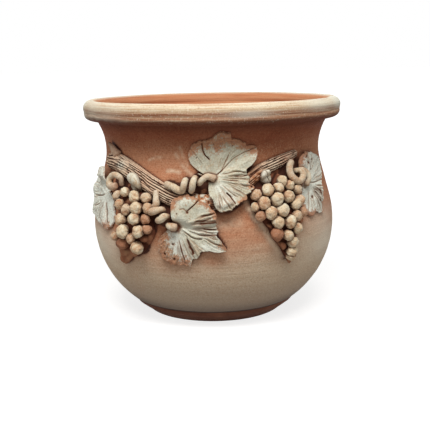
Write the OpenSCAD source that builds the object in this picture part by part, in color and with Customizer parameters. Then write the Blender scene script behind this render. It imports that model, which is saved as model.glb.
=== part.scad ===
// Terracotta planter with a grape garland laid on its wall, front and back.
// Millimetres. The origin is the middle of the foot, +Z is up and the front faces -Y.

/* [Pot] */
// Outer diameter of the rolled rim
rim_d = 400; // [390:2:420]
// Height from the ground to the top of the rim
pot_h = 332; // [322:2:350]
// Height of the upper roll of the rim
rim_roll = 24; // [20:1:27]
// Height of the lower roll, tucked under the upper one
lip_roll = 19; // [16:1:22]
// Diameter of the belly where it is widest
belly_d = 380; // [372:2:390]
// Height of the widest place
belly_z = 140; // [134:1:146]
// Radius of the belly's curve in section, from the widest place down
belly_curve = 150; // [146:1:156]
// Radius of the shoulder's curve in section, from the widest place up
shoulder_curve = 150; // [130:1:160]
// Diameter of the waist under the rim
waist_d = 334; // [326:2:342]
// Depth of the waist below the top of the rim
waist_drop = 76; // [70:1:80]
// Radius of the waist's curve in section, from the waist down
waist_curve = 85; // [75:1:95]
// How far the rim's edge stands out past the wall that it finishes
rim_cover = 4; // [3:0.5:6]
// Thickness of the wall
wall = 13; // [11:0.5:15]
// Thickness of the floor
floor_t = 16; // [12:1:20]
// Diameter of the drain hole
drain_d = 30; // [20:1:40]
// Diameter of the foot where it stands
foot_d = 214; // [206:2:218]
// Height of the bare band round the foot
foot_h = 22; // [20:1:26]

/* [Garland] */
// Height of the middle of the garland below the waist
garland_drop = 56; // [50:1:62]
// Gap filled with slip between a laid piece and what it sits on
slip = 0.3; // [0.2:0.05:0.5]
// Thickness of the vine at its thick end
vine_t = 12; // [9:0.5:14]
// Width of the vine at its thick end
vine_w = 27; // [23:0.5:29]
// Depth of the scored bark grooves
groove = 1.4; // [0.5:0.1:2]
// Thickness of a leaf
leaf_t = 5; // [3.5:0.5:7]
// How far a leaf's free edge curls off the wall
leaf_curl = 7; // [3:0.5:9]
// Size of the leaves against their drawn outlines
leaf_size = 1; // [0.9:0.02:1.04]
// Thickness of the clay rope that the tendrils are rolled from
rope_d = 9; // [7:0.5:10]
// Thickness of the bunch's stalk strap
strap_t = 6; // [5:0.5:8]
// Width of the bunch's stalk strap
strap_w = 13; // [10:0.5:15]
// Diameter of a berry
berry_d = 16; // [13:0.25:16.25]
// Thickness of a bunch's clay pad at its edge
pad_t = 3.5; // [2.5:0.5:5]
// Extra thickness of the pad in its middle
pad_crown = 7; // [4:0.5:9]

/* [Hidden] */

// The wall in section has four arcs: belly, shoulder, waist and neck. The shoulder and the
// waist curve opposite ways, and a straight line touches both. Where the wall hasn't room for
// both radii, they draw in together.
waist_z = pot_h - waist_drop;
roll_z = pot_h - rim_roll / 2;
bulge = (belly_d - waist_d) / 2;
rise = waist_z - belly_z;
asked_curves = shoulder_curve + waist_curve;
curve_room = bulge > 0 ? (bulge ^ 2 + rise ^ 2) / (2 * bulge) : 2 * asked_curves;
draw_in = min(1, 0.98 * curve_room / asked_curves);
shoulder_r = shoulder_curve * draw_in;
waist_r = waist_curve * draw_in;
belly_x = belly_d / 2 - belly_curve;
shoulder_x = belly_d / 2 - shoulder_r;
waist_x = waist_d / 2 + waist_r;
join_tilt = atan2(rise, waist_x - shoulder_x)
    - acos((shoulder_r + waist_r) / norm([waist_x - shoulder_x, rise]));

// The neck runs from the waist out to the rim
neck_out = (rim_d - waist_d) / 2 - rim_cover;
neck_up = roll_z - waist_z;
neck_r = (neck_out ^ 2 + neck_up ^ 2) / (2 * neck_out);
neck_x = waist_d / 2 + neck_r;
lip_inset = 1;
lip_drop = 8.5;
lip_z = roll_z - lip_drop;

// The foot in section flares from its rounded edge to a small step under the body
foot_edge = [3.5, 2.5];
foot_flare = [-3.6, -7];
foot_step = 1.1;

// Places on the wall are [across, up] from the middle of the garland. Across is measured
// round the pot at the middle height of the relief.
relief = 5;
garland_z = waist_z - garland_drop;
garland_r = wall_r(garland_z) + relief;

// Marks along the vine: across, up, width and thickness as shares of its thick end
vine_marks = [
    [-199, 45, 0.90, 0.90], [-174, 44, 1.00, 1.00], [-148, 38, 1.00, 1.00],
    [-116, 27, 0.96, 0.95], [-87, 14, 0.93, 0.85], [-58, 2, 0.88, 0.70],
    [-10, -4, 0.85, 0.60], [26, 6, 0.80, 0.60], [55, 26, 0.77, 0.70],
    [76, 37, 0.73, 0.75], [106, 46, 0.68, 0.70], [144, 56, 0.42, 0.50]];
vine_rings = 36;
vine_strips = 8;
vine_base_strips = 4;
leaf_clear = 12;

// Leaf outlines: reach of the edge from the stalk, by direction. 0 is right and 90 is up.
upper_leaf_rim = [
    [-150, 8], [-132, 9], [-108, 20], [-90, 35], [-78, 44], [-66, 42], [-48, 46], [-36, 54],
    [-24, 52], [-12, 58], [0, 57], [12, 55], [30, 78], [36, 73], [48, 68], [60, 63], [72, 67],
    [78, 67], [90, 60], [96, 57], [102, 56], [108, 50], [114, 57], [126, 53], [138, 52],
    [150, 42], [156, 38], [168, 22], [186, 10], [210, 8]];
lower_leaf_rim = [
    [-210, 8], [-186, 10], [-162, 21], [-144, 38], [-126, 42], [-102, 49], [-84, 53], [-72, 56],
    [-60, 51], [-48, 46], [-36, 57], [-30, 68], [-24, 72], [-18, 60], [-6, 54], [12, 50],
    [18, 54], [30, 51], [48, 50], [72, 48], [90, 44], [102, 40], [114, 25], [126, 10], [150, 8]];
left_leaf_rim = [
    [60, 6], [84, 9], [96, 30], [108, 43], [126, 43], [138, 50], [150, 60], [168, 52],
    [186, 56], [204, 48], [210, 60], [228, 50], [258, 46], [276, 54], [300, 50], [318, 42], [336, 32],
    [354, 25], [372, 20], [390, 9], [420, 6]];
right_leaf_rim = [
    [-210, 8], [-186, 12], [-162, 20], [-138, 26], [-126, 34], [-120, 50], [-114, 54], [-102, 46],
    [-90, 45], [-66, 47], [-54, 57], [-42, 49], [-18, 50], [-6, 46], [6, 56], [24, 58], [36, 50],
    [48, 55], [60, 47], [78, 45], [90, 28], [102, 12], [150, 8]];
leaf_steps = 60;

// Pad outlines, in the same way, and the places of the berries from the pad's middle
left_pad_rim = [
    [-180, 30], [-150, 34], [-130, 46], [-120, 50], [-105, 74], [-90, 56], [-70, 52], [-50, 46],
    [-24, 44], [0, 35], [30, 37], [54, 41], [80, 39], [110, 44], [138, 49], [150, 36], [180, 30]];
right_pad_rim = [
    [-180, 44], [-160, 38], [-140, 36], [-120, 45], [-100, 52], [-90, 64], [-80, 80], [-70, 60],
    [-60, 40], [-40, 32], [-10, 34], [24, 38], [46, 48], [68, 46], [88, 53], [108, 40],
    [126, 46], [144, 55], [164, 51], [180, 44]];
left_berry_marks = [
    [-28, 27], [-12, 34], [8, 29], [25, 30], [-16, 17], [0, 11], [15, 14], [30, 15],
    [-8, -3], [14, -2], [30, -1], [-3, -19], [21, -17], [36, -15], [9, -29],
    [-21, -29], [-6, -35], [20, -40]];
right_berry_marks = [
    [1, 45], [-41, 27], [-25, 30], [-8, 30], [10, 32], [26, 27], [-46, 11], [-31, 14],
    [-15, 15], [3, 17], [27, 10], [-40, -5], [-24, -2], [-8, 0], [12, 4], [28, -7],
    [-18, -18], [-2, -16], [13, -12], [-18, -34], [-3, -33], [12, -29], [5, -46], [5, -63]];
pad_steps = 36;
// Extra room under a pad, because its back is made of flat facets
facet_room = 0.7;
// The berries were placed by eye for this diameter, and spread or close up with it
drawn_berry_d = 16;

// Where each leaf's stalk and each pad's middle is, and where a leaf's edge curls most
upper_leaf_at = [0, 27];
lower_leaf_at = [-48, -37];
left_leaf_at = [-188, -3];
right_leaf_at = [160, 10];
left_pad_at = [-121, -30];
right_pad_at = [100, -22];

sides = 8;

// ---- the wall ----

// Where the shoulder's arc ends and the waist's starts, for a surface inset into the wall
function shoulder_end(inset) = [shoulder_x + (shoulder_r - inset) * cos(join_tilt),
    belly_z + (shoulder_r - inset) * sin(join_tilt)];
function waist_start(inset) = [waist_x - (waist_r + inset) * cos(join_tilt),
    waist_z - (waist_r + inset) * sin(join_tilt)];

// Outer radius of the wall at a height
function wall_r(z) = let (a = shoulder_end(0), b = waist_start(0))
    z < belly_z ? belly_x + sqrt(belly_curve ^ 2 - (z - belly_z) ^ 2)
    : z < a.y ? shoulder_x + sqrt(shoulder_r ^ 2 - (z - belly_z) ^ 2)
    : z < b.y ? a.x + (b.x - a.x) * (z - a.y) / (b.y - a.y)
    : z < waist_z ? waist_x - sqrt(waist_r ^ 2 - (z - waist_z) ^ 2)
    : neck_x - sqrt(neck_r ^ 2 - (z - waist_z) ^ 2);

// How far the wall faces up at a height, in degrees
function wall_tilt(z) = z < belly_z ? asin((z - belly_z) / belly_curve)
    : z < shoulder_end(0).y ? asin((z - belly_z) / shoulder_r)
    : z < waist_start(0).y ? join_tilt
    : asin((waist_z - z) / (z < waist_z ? waist_r : neck_r));

// The point at a place on the wall, raised off it
function on_wall(place, raised) = let (
        z = garland_z + place.y,
        turn = place.x / garland_r * 180 / PI,
        r = wall_r(z) + raised * cos(wall_tilt(z)))
    [r * sin(turn), -r * cos(turn), z + raised * sin(wall_tilt(z))];

// ---- curves ----

function unit(v) = v / norm(v);
function mark_slope(m, i) = let (p = m[max(i - 1, 0)], q = m[min(i + 1, len(m) - 1)])
    (q - p) / (q[0] - p[0]);
function mark_before(m, x, i = 0) = i >= len(m) - 2 || x < m[i + 1][0] ? i
    : mark_before(m, x, i + 1);

// A smooth curve through marks that start with their place along it
function along(m, x) = let (
        i = mark_before(m, x),
        w = m[i + 1][0] - m[i][0],
        t = (x - m[i][0]) / w,
        ease = t * t * (3 - 2 * t))
    m[i] * (1 - ease) + m[i + 1] * ease
        + w * t * (1 - t) * (mark_slope(m, i) * (1 - t) - mark_slope(m, i + 1) * t);

// The vine's crest, half width and thickness above a place, and the way across it
function vine_up(x) = along(vine_marks, x)[1];
function vine_half(x) = along(vine_marks, x)[2] * vine_w / 2;
function vine_high(x) = along(vine_marks, x)[3] * vine_t;
function vine_slant(x) = atan(vine_up(x + 1) - vine_up(x));
function from_crest(place) = (place.y - vine_up(place.x)) * cos(vine_slant(place.x));
vine_left = vine_marks[0][0];
vine_right = vine_marks[len(vine_marks) - 1][0];

// How high a leaf is carried over the vine: level across it, then down to the wall
function carried(place) = let (
        x = min(max(place.x, vine_left), vine_right),
        past = abs(place.x - x),
        off = max(abs(from_crest([x, place.y])) - vine_half(x), past) - leaf_clear,
        drop = min(max(off / leaf_clear, 0), 1))
    vine_high(x) * (1 - drop * drop * (3 - 2 * drop));

// Height of the middle of a rope or strap that rests on the wall or on the vine
function resting(place, half_t) = let (
        x = min(max(place.x, vine_left), vine_right),
        off = max(abs(from_crest([x, place.y])), abs(place.x - x) * 2),
        reach = vine_half(x) + half_t + slip,
        lift = vine_high(x) + half_t + slip)
    max(half_t + slip, off < reach ? lift * sqrt(1 - (off / reach) ^ 2) : 0);

// ---- solids from rings of points ----

// Closes a stack of rings with a point at each end
module skin(rings, first, last) {
    n = len(rings[0]);
    count = len(rings);
    points = concat([first], [for (ring = rings) each ring], [last]);
    end = len(points) - 1;
    top = [for (i = [0:n - 1]) [0, 1 + (i + 1) % n, 1 + i]];
    body = [for (k = [0:count - 2], i = [0:n - 1]) let (
            a = 1 + k * n + i,
            b = 1 + k * n + (i + 1) % n)
        each [[a, b + n, a + n], [a, b, b + n]]];
    foot = [for (i = [0:n - 1]) let (
            a = 1 + (count - 1) * n + i,
            b = 1 + (count - 1) * n + (i + 1) % n)
        [end, a, b]];
    polyhedron(points, concat(top, body, foot));
}

function middle(ring) = [for (axis = [0:2]) let (v = [for (p = ring) p[axis]])
    v * [for (p = ring) 1] / len(ring)];

// Carries a side direction along a path without twisting it
function square_to(v, d) = unit(v - (v * d) * d);
function carry(dirs, v, i = 0) = i == len(dirs) ? []
    : let (w = square_to(v, dirs[i])) concat([w], carry(dirs, w, i + 1));
function path_dirs(path) = [for (i = [0:len(path) - 1])
    unit(path[min(i + 1, len(path) - 1)] - path[max(i - 1, 0)])];

// Softens a path by adding a point between each two
function softened(path) = let (n = len(path)) concat(
    [for (i = [0:n - 2]) each [path[i],
        (path[i] + path[i + 1]) * 9 / 16 - (path[max(i - 1, 0)] + path[min(i + 2, n - 1)]) / 16]],
    [path[n - 1]]);

// A rolled strand of clay along a path, with round ends. Wide is across the wall.
module strand(path, wide, thick, seed, taper = 0.8) {
    dirs = path_dirs(path);
    n = len(path);
    across = carry(dirs, seed);
    size = [for (i = [0:n - 1]) 1 - (1 - taper) * i / (n - 1)];
    function ring(p, d, v, s) = let (w = cross(d, v)) [for (k = [0:sides - 1])
        let (a = -360 * k / sides) p + s * (wide / 2 * cos(a) * v + thick / 2 * sin(a) * w)];
    cap = thick / 2 * 0.55;
    rings = concat(
        [ring(path[0] - dirs[0] * cap * size[0], dirs[0], across[0], 0.7 * size[0])],
        [for (i = [0:n - 1]) ring(path[i], dirs[i], across[i], size[i])],
        [ring(path[n - 1] + dirs[n - 1] * cap * size[n - 1], dirs[n - 1], across[n - 1],
            0.7 * size[n - 1])]);
    skin(rings, middle(rings[0]), middle(rings[len(rings) - 1]));
}

// ---- laid pieces ----

function polar(dir, reach) = reach * [cos(dir), sin(dir)];

// A leaf: thick at the stalk, thin at the edge, carried over the vine and curled where it faces
module leaf(at, rim, curl_dir, curl = 1) {
    shares = [0.25, 0.5, 0.75, 1];
    start = rim[0][0];
    function dir(i) = start + 360 * i / leaf_steps;
    function place(i, f) = at + polar(dir(i), f * leaf_size * lookup(dir(i), rim));
    function under(i, f) = slip + carried(place(i, f))
        + curl * leaf_curl * f ^ 3 * max(0, cos(dir(i) - curl_dir)) ^ 2;
    function over(i, f) = under(i, f) + leaf_t * (1 - 0.4 * f * f);
    inner = [for (f = shares) [for (i = [0:leaf_steps - 1]) on_wall(place(i, f), over(i, f))]];
    outer = [for (k = [len(shares) - 1:-1:0])
        [for (i = [0:leaf_steps - 1]) on_wall(place(i, shares[k]), under(i, shares[k]))]];
    color("lightgray") skin(concat(inner, outer), on_wall(at, over(0, 0)), on_wall(at, under(0, 0)));
}

// Height of a pad's face at a share of the way to its edge
function pad_face(f) = slip + pad_t + pad_crown * (1 - f * f);

// A domed clay pad that carries a bunch
module pad(at, rim) {
    shares = [0.2, 0.4, 0.6, 0.8, 1];
    spread = berry_d / drawn_berry_d;
    function dir(i) = -180 + 360 * i / pad_steps;
    function place(i, f) = at + polar(dir(i), f * spread * lookup(dir(i), rim));
    face = [for (f = shares) [for (i = [0:pad_steps - 1]) on_wall(place(i, f), pad_face(f))]];
    base = [for (k = [len(shares) - 1:-1:0])
        [for (i = [0:pad_steps - 1]) on_wall(place(i, shares[k]), slip + facet_room)]];
    color("peru") skin(concat(face, base), on_wall(at, pad_face(0)), on_wall(at, slip + facet_room));
}

// The bunch's berries, each a ball that sits on the pad's slope
module berries(at, rim, marks) {
    spread = berry_d / drawn_berry_d;
    color("wheat") for (m = marks) {
        dir = atan2(m.y, m.x);
        reach = lookup(dir, rim);
        f = min(norm(m) / reach, 1);
        slope = atan(2 * pad_crown * f / (reach * spread));
        raised = pad_face(f) + (berry_d / 2 + slip) / cos(slope);
        translate(on_wall(at + spread * m, raised)) sphere(d = berry_d, $fn = 32);
    }
}

// ---- the pieces ----

// The upper half of a disc (side 1) or the lower half (side -1)
module half_disc(at, r, side) {
    intersection() {
        translate(at) circle(r);
        translate([at.x - 2 * r, side > 0 ? at.y : at.y - 2 * r]) square([4 * r, 2 * r]);
    }
}

// The thrown bowl in section, from the axis out to a surface inset into the wall
module bowl_section(inset, low, high) {
    a = shoulder_end(inset);
    b = waist_start(inset);
    intersection() {
        union() {
            half_disc([belly_x, belly_z], belly_curve - inset, -1);
            half_disc([shoulder_x, belly_z], shoulder_r - inset, 1);
            square([max(belly_x, shoulder_x), a.y]);
        }
        translate([0, low]) square([belly_d, a.y - low]);
    }
    polygon([[0, a.y], a, b, [0, b.y]]);
    difference() {
        translate([0, b.y]) square([min(waist_x, neck_x), high - b.y]);
        half_disc([waist_x, waist_z], waist_r + inset, -1);
        half_disc([neck_x, waist_z], neck_r + inset, 1);
    }
}

module foot_section() {
    low = [foot_d / 2, 0];
    top = [wall_r(foot_h) - foot_step, foot_h];
    polygon([[0, 0], low, low + foot_edge, top + foot_flare, top, [0, foot_h]]);
}

module pot_section() {
    difference() {
        union() {
            bowl_section(0, foot_h, roll_z);
            foot_section();
        }
        bowl_section(wall, floor_t, roll_z + 1);
    }
    translate([(rim_d - rim_roll) / 2, roll_z]) circle(d = rim_roll);
    translate([(rim_d - lip_roll) / 2 - lip_inset, lip_z]) circle(d = lip_roll);
}

module pot() {
    color("sienna") difference() {
        rotate_extrude($fn = 180) pot_section($fn = 180);
        translate([0, 0, -1]) cylinder(d = drain_d, h = floor_t + 2, $fn = 64);
    }
}

// The vine: a flat-backed branch with a round face scored along its length
module vine() {
    function mark(k) = vine_left + (vine_right - vine_left) * k / vine_rings;
    function place(x, v) = let (slant = vine_slant(x))
        [x, vine_up(x)] + vine_half(x) * v * [-sin(slant), cos(slant)];
    function face(x, j) = let (
            v = -cos(180 * j / vine_strips),
            cut = j % 2 == 0 && j > 0 && j < vine_strips ? groove : 0)
        on_wall(place(x, v), slip + max(vine_high(x) * sin(180 * j / vine_strips) - cut, 0.8));
    function base(x, j) = on_wall(place(x, 1 - 2 * j / vine_base_strips), slip);
    rings = [for (k = [0:vine_rings]) let (x = mark(k)) concat(
        [for (j = [0:vine_strips]) face(x, j)],
        [for (j = [0:vine_base_strips]) base(x, j)])];
    color("rosybrown") skin(rings, middle(rings[0]), middle(rings[vine_rings]));
}

// Turns of rope lying along the wall, from one place to another
function coil(from, to, turns, coil_r, lag) = let (
        steps = 8 * turns,
        way = unit(to - from),
        square = [-way.y, way.x],
        low = coil_r + rope_d / 2)
    [for (k = [0:steps]) let (
            a = lag + 45 * k,
            p = from + (to - from) * k / steps + coil_r * sin(a) * square)
        [p.x, p.y, resting(p, low) + coil_r * cos(a)]];

// A rope's path from places with their heights
function rope_path(marks) = [for (m = marks) on_wall([m.x, m.y], m[2])];
// A place where a rope rests on the wall or the vine
function rest_at(x, up, extra = 0) = [x, up, resting([x, up], rope_d / 2) + extra];

coil_r = 6.5;

// A place where a rope's end lies on a leaf
function on_leaf(x, up, extra = 0) = [x, up,
    slip + carried([x, up]) + leaf_t + slip + rope_d / 2 + extra];

module tendril(marks, taper = 0.8) {
    color("burlywood") strand(rope_path(marks), rope_d, rope_d, [0, 0.2, 1], taper);
}

module upper_petiole() tendril(concat(
    [rest_at(-69, 19), rest_at(-57, 15)],
    coil([-44, 19], [-14, 24], 2.5, coil_r, 180),
    [on_leaf(-8, 28, 3), on_leaf(-3, 28)]));

module lower_petiole() tendril(concat(
    [rest_at(-83, 4), rest_at(-80, -4)],
    coil([-78, -11], [-59, -32], 1.5, coil_r, 180),
    [on_leaf(-56, -34, 3), on_leaf(-51, -36)]));

module left_tendril() tendril(
    [rest_at(-179, 8), rest_at(-178, 13), rest_at(-177, 19), rest_at(-171, 25), rest_at(-163, 27),
    rest_at(-152, 23), rest_at(-150, 15, 1), rest_at(-157, 10, 2), rest_at(-165, 13, 3)]);

module right_tendril() tendril(concat(
    [rest_at(125, 41), rest_at(121, 32, 2)],
    coil([126, 24], [149, 23], 2, coil_r, 180),
    [rest_at(151, 19)]));

// A flat strap of clay pressed over the vine, from one place to another
module stalk(from, to) {
    steps = 8;
    strips = 6;
    way = unit(to - from);
    square = [-way.y, way.x];
    function girth(k) = sqrt(1 - (1.84 * k / steps - 0.92) ^ 2);
    function place(k, v) = from + (to - from) * k / steps + strap_w / 2 * girth(k) * v * square;
    function under(p) = resting(p, facet_room) + facet_room / 2;
    function over(k, j) = let (p = place(k, -cos(180 * j / strips)))
        on_wall(p, under(p) + strap_t * girth(k) * (0.15 + 0.85 * sin(180 * j / strips)));
    function below(k, j) = let (p = place(k, 1 - 2 * j / strips)) on_wall(p, under(p));
    rings = [for (k = [0:steps]) concat(
        [for (j = [0:strips]) over(k, j)],
        [for (j = [0:strips]) below(k, j)])];
    color("gainsboro") skin(rings, middle(rings[0]), middle(rings[steps]));
}

module upper_leaf() leaf(upper_leaf_at, upper_leaf_rim, -60);
module lower_leaf() leaf(lower_leaf_at, lower_leaf_rim, 10);
module left_leaf() leaf(left_leaf_at, left_leaf_rim, 165, 1.1);
module right_leaf() leaf(right_leaf_at, right_leaf_rim, -20, 0.3);
module left_stalk() stalk([-132, 30], [-109, 12]);
module right_stalk() stalk([73, 36], [87, 21]);
module left_pad() pad(left_pad_at, left_pad_rim);
module right_pad() pad(right_pad_at, right_pad_rim);
module left_berries() berries(left_pad_at, left_pad_rim, left_berry_marks);
module right_berries() berries(right_pad_at, right_pad_rim, right_berry_marks);

// The same garland again on the other side
module behind() rotate([0, 0, 180]) children();

pot();
vine();  // front_vine
upper_leaf();  // front_upper_leaf
lower_leaf();  // front_lower_leaf
left_leaf();  // front_left_leaf
right_leaf();  // front_right_leaf
upper_petiole();  // front_upper_petiole
lower_petiole();  // front_lower_petiole
left_tendril();  // front_left_tendril
right_tendril();  // front_right_tendril
left_stalk();  // front_left_stalk
right_stalk();  // front_right_stalk
left_pad();  // front_left_pad
right_pad();  // front_right_pad
left_berries();  // front_left_berries
right_berries();  // front_right_berries
behind() vine();  // back_vine
behind() upper_leaf();  // back_upper_leaf
behind() lower_leaf();  // back_lower_leaf
behind() left_leaf();  // back_left_leaf
behind() right_leaf();  // back_right_leaf
behind() upper_petiole();  // back_upper_petiole
behind() lower_petiole();  // back_lower_petiole
behind() left_tendril();  // back_left_tendril
behind() right_tendril();  // back_right_tendril
behind() left_stalk();  // back_left_stalk
behind() right_stalk();  // back_right_stalk
behind() left_pad();  // back_left_pad
behind() right_pad();  // back_right_pad
behind() left_berries();  // back_left_berries
behind() right_berries();  // back_right_berries
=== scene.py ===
"""A thrown terracotta planter with a garland of vine, leaves and grapes laid on its wall.

Every piece is drawn in millimetres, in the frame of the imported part: the origin is the middle
of the foot, +Z is up and the front faces -Y. Meshes are scaled to metres as they are made.
"""
import math

import bpy
import numpy as np
from mathutils import Matrix, Vector


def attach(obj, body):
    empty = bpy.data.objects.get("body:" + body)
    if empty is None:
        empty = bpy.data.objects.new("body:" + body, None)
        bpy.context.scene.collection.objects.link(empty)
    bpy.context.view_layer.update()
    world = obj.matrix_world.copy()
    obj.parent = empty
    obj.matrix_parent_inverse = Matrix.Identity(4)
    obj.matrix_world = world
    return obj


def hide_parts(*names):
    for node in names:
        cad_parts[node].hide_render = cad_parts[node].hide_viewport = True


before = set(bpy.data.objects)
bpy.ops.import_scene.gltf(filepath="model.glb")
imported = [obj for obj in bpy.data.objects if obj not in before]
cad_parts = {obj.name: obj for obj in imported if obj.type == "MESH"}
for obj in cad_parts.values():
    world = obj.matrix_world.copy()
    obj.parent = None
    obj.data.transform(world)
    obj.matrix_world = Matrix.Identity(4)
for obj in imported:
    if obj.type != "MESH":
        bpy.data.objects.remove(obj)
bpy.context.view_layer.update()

MM = 0.001

# Radius of the circle that the pot's section is turned on, in metres: next to nothing
AXIS_R = 1e-6

# ---- the pot's sizes, as the part has them ----

RIM_D, POT_H = 400.0, 332.0
RIM_ROLL, LIP_ROLL = 24.0, 19.0
LIP_DROP, LIP_INSET = 8.5, 1.0
BELLY_D, BELLY_Z, BELLY_CURVE = 380.0, 140.0, 150.0
WAIST_D, WAIST_Z, WAIST_CURVE = 334.0, 256.0, 85.0
RIM_COVER = 4.0
WALL, FLOOR_T, DRAIN_D = 13.0, 16.0, 30.0
FOOT_D, FOOT_H = 214.0, 22.0
SLIP = 0.3
GARLAND_Z = 200.0
RELIEF = 5.0

ROLL_Z = POT_H - RIM_ROLL / 2
LIP_Z = ROLL_Z - LIP_DROP
ROLL_R, LIP_R = RIM_D / 2 - RIM_ROLL / 2, RIM_D / 2 - LIP_ROLL / 2 - LIP_INSET
BELLY_X = BELLY_D / 2 - BELLY_CURVE
WAIST_X = WAIST_D / 2 + WAIST_CURVE
NECK_OUT = (RIM_D - WAIST_D) / 2 - RIM_COVER
NECK_UP = ROLL_Z - WAIST_Z
NECK_CURVE = (NECK_OUT ** 2 + NECK_UP ** 2) / (2 * NECK_OUT)
NECK_X = WAIST_D / 2 + NECK_CURVE
CURVES_APART = math.hypot(WAIST_X - BELLY_X, WAIST_Z - BELLY_Z)
JOIN_TILT = (math.atan2(WAIST_Z - BELLY_Z, WAIST_X - BELLY_X)
             - math.acos((BELLY_CURVE + WAIST_CURVE) / CURVES_APART))


def wall_marks(inset):
    """Radius and height where the shoulder's curve ends and the waist's starts"""
    across, up = math.cos(JOIN_TILT), math.sin(JOIN_TILT)
    return (BELLY_X + (BELLY_CURVE - inset) * across, BELLY_Z + (BELLY_CURVE - inset) * up,
            WAIST_X - (WAIST_CURVE + inset) * across, WAIST_Z - (WAIST_CURVE + inset) * up)


def wall_radius(z, inset=0.0):
    """Radius of the pot's wall at a height, for a surface inset into the clay"""
    z = np.asarray(z, float)
    end_r, end_z, start_r, start_z = wall_marks(inset)
    belly = BELLY_X + np.sqrt(np.maximum((BELLY_CURVE - inset) ** 2 - (z - BELLY_Z) ** 2, 0))
    line = end_r + (start_r - end_r) * (z - end_z) / (start_z - end_z)
    waist = WAIST_X - np.sqrt(np.maximum((WAIST_CURVE + inset) ** 2 - (z - WAIST_Z) ** 2, 0))
    neck = NECK_X - np.sqrt(np.maximum((NECK_CURVE + inset) ** 2 - (z - WAIST_Z) ** 2, 0))
    return np.select([z < end_z, z < start_z, z < WAIST_Z], [belly, line, waist], neck)


def wall_tilt(z):
    """How far the wall faces up at a height, in radians"""
    z = np.asarray(z, float)
    _, end_z, _, start_z = wall_marks(0)
    return np.select(
        [z < end_z, z < start_z, z < WAIST_Z],
        [np.arcsin(np.clip((z - BELLY_Z) / BELLY_CURVE, -1, 1)), np.full_like(z, JOIN_TILT),
         np.arcsin(np.clip((WAIST_Z - z) / WAIST_CURVE, -1, 1))],
        np.arcsin(np.clip((WAIST_Z - z) / NECK_CURVE, -1, 1)))


GARLAND_R = float(wall_radius(GARLAND_Z)) + RELIEF


def on_wall(across, up, raised):
    """The points at places on the wall, raised off it: across is measured round the pot"""
    z = GARLAND_Z + np.asarray(up, float)
    turn = np.asarray(across, float) / GARLAND_R
    tilt = wall_tilt(z)
    r = wall_radius(z) + raised * np.cos(tilt)
    return np.stack([r * np.sin(turn), -r * np.cos(turn), z + raised * np.sin(tilt)], -1)


def off_wall(points):
    """The reverse of on_wall: across, up and raised of points"""
    turn = np.arctan2(points[:, 0], -points[:, 1])
    r, z = np.hypot(points[:, 0], points[:, 1]), points[:, 2]
    up, raised = z - GARLAND_Z, np.zeros(len(points))
    for _ in range(4):
        tilt = wall_tilt(GARLAND_Z + up)
        raised = (r - wall_radius(GARLAND_Z + up)) / np.cos(tilt)
        up = z - raised * np.sin(tilt) - GARLAND_Z
    return turn * GARLAND_R, up, raised


# ---- small tools ----

def ease(low, high, x):
    """0 below low, 1 above high and smooth between them"""
    t = np.clip((np.asarray(x, float) - low) / (high - low), 0, 1)
    return t * t * (3 - 2 * t)


def lumps(points, size, seed):
    """Smooth random heights from -1 to 1 at points, in lumps of about this size"""
    table = np.random.default_rng(seed).uniform(-1, 1, (32, 32, 32))
    q = np.asarray(points, float) / np.asarray(size, float) + 64
    cell = np.floor(q).astype(int)
    t = q - cell
    t = t * t * (3 - 2 * t)
    total = 0
    for dx in (0, 1):
        for dy in (0, 1):
            for dz in (0, 1):
                share = (np.abs(1 - dx - t[..., 0]) * np.abs(1 - dy - t[..., 1])
                         * np.abs(1 - dz - t[..., 2]))
                total = total + share * table[(cell[..., 0] + dx) % 32, (cell[..., 1] + dy) % 32,
                                              (cell[..., 2] + dz) % 32]
    return total


def rough(points, size, seed, octaves=3):
    """Lumps with finer lumps on them"""
    return sum(lumps(points, np.asarray(size, float) / 2 ** k, seed + k) / 2 ** k
               for k in range(octaves)) / 1.5


def flat(across, up, third=0.0):
    """Places on the wall as points for lumps()"""
    across, up = np.broadcast_arrays(np.asarray(across, float), np.asarray(up, float))
    return np.stack([across, up, np.full_like(across, third)], -1)


def along(marks, x):
    """A smooth curve through marks that start with their place along it"""
    marks = np.asarray(marks, float)
    x = np.atleast_1d(np.asarray(x, float))
    i = np.clip(np.searchsorted(marks[:, 0], x, side="right") - 1, 0, len(marks) - 2)

    def slope(j):
        p, q = marks[np.maximum(j - 1, 0)], marks[np.minimum(j + 1, len(marks) - 1)]
        return (q - p) / (q[..., :1] - p[..., :1])

    w = (marks[i + 1, 0] - marks[i, 0])[:, None]
    t = (x - marks[i, 0])[:, None] / w
    s = t * t * (3 - 2 * t)
    return (marks[i] * (1 - s) + marks[i + 1] * s
            + w * t * (1 - t) * (slope(i) * (1 - t) - slope(i + 1) * t))


def lookup(marks, x):
    """Straight lines between marks of direction and reach"""
    marks = np.asarray(marks, float)
    return np.interp(x, marks[:, 0], marks[:, 1])


def line_gap(p, line):
    """Distance of places from a line of points, and how far along it the nearest point is"""
    line = np.asarray(line, float)
    best = np.full(p.shape[:-1], np.inf)
    share = np.zeros(p.shape[:-1])
    lengths = np.linalg.norm(np.diff(line, axis=0), axis=1)
    before = np.concatenate([[0], np.cumsum(lengths)])
    for k, (a, b) in enumerate(zip(line[:-1], line[1:])):
        t = np.clip(((p - a) @ (b - a)) / max((b - a) @ (b - a), 1e-9), 0, 1)
        gap = np.linalg.norm(p - (a + t[..., None] * (b - a)), axis=-1)
        near = gap < best
        best = np.where(near, gap, best)
        share = np.where(near, (before[k] + t * lengths[k]) / before[-1], share)
    return best, share


def bell(gap, width):
    """1 at no gap, falling off smoothly over about this width"""
    return np.exp(-(gap / width) ** 2)


def near_line(places, line, width):
    """1 on a line of points, falling off smoothly over about this width"""
    return bell(line_gap(places, line)[0], width)


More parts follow.
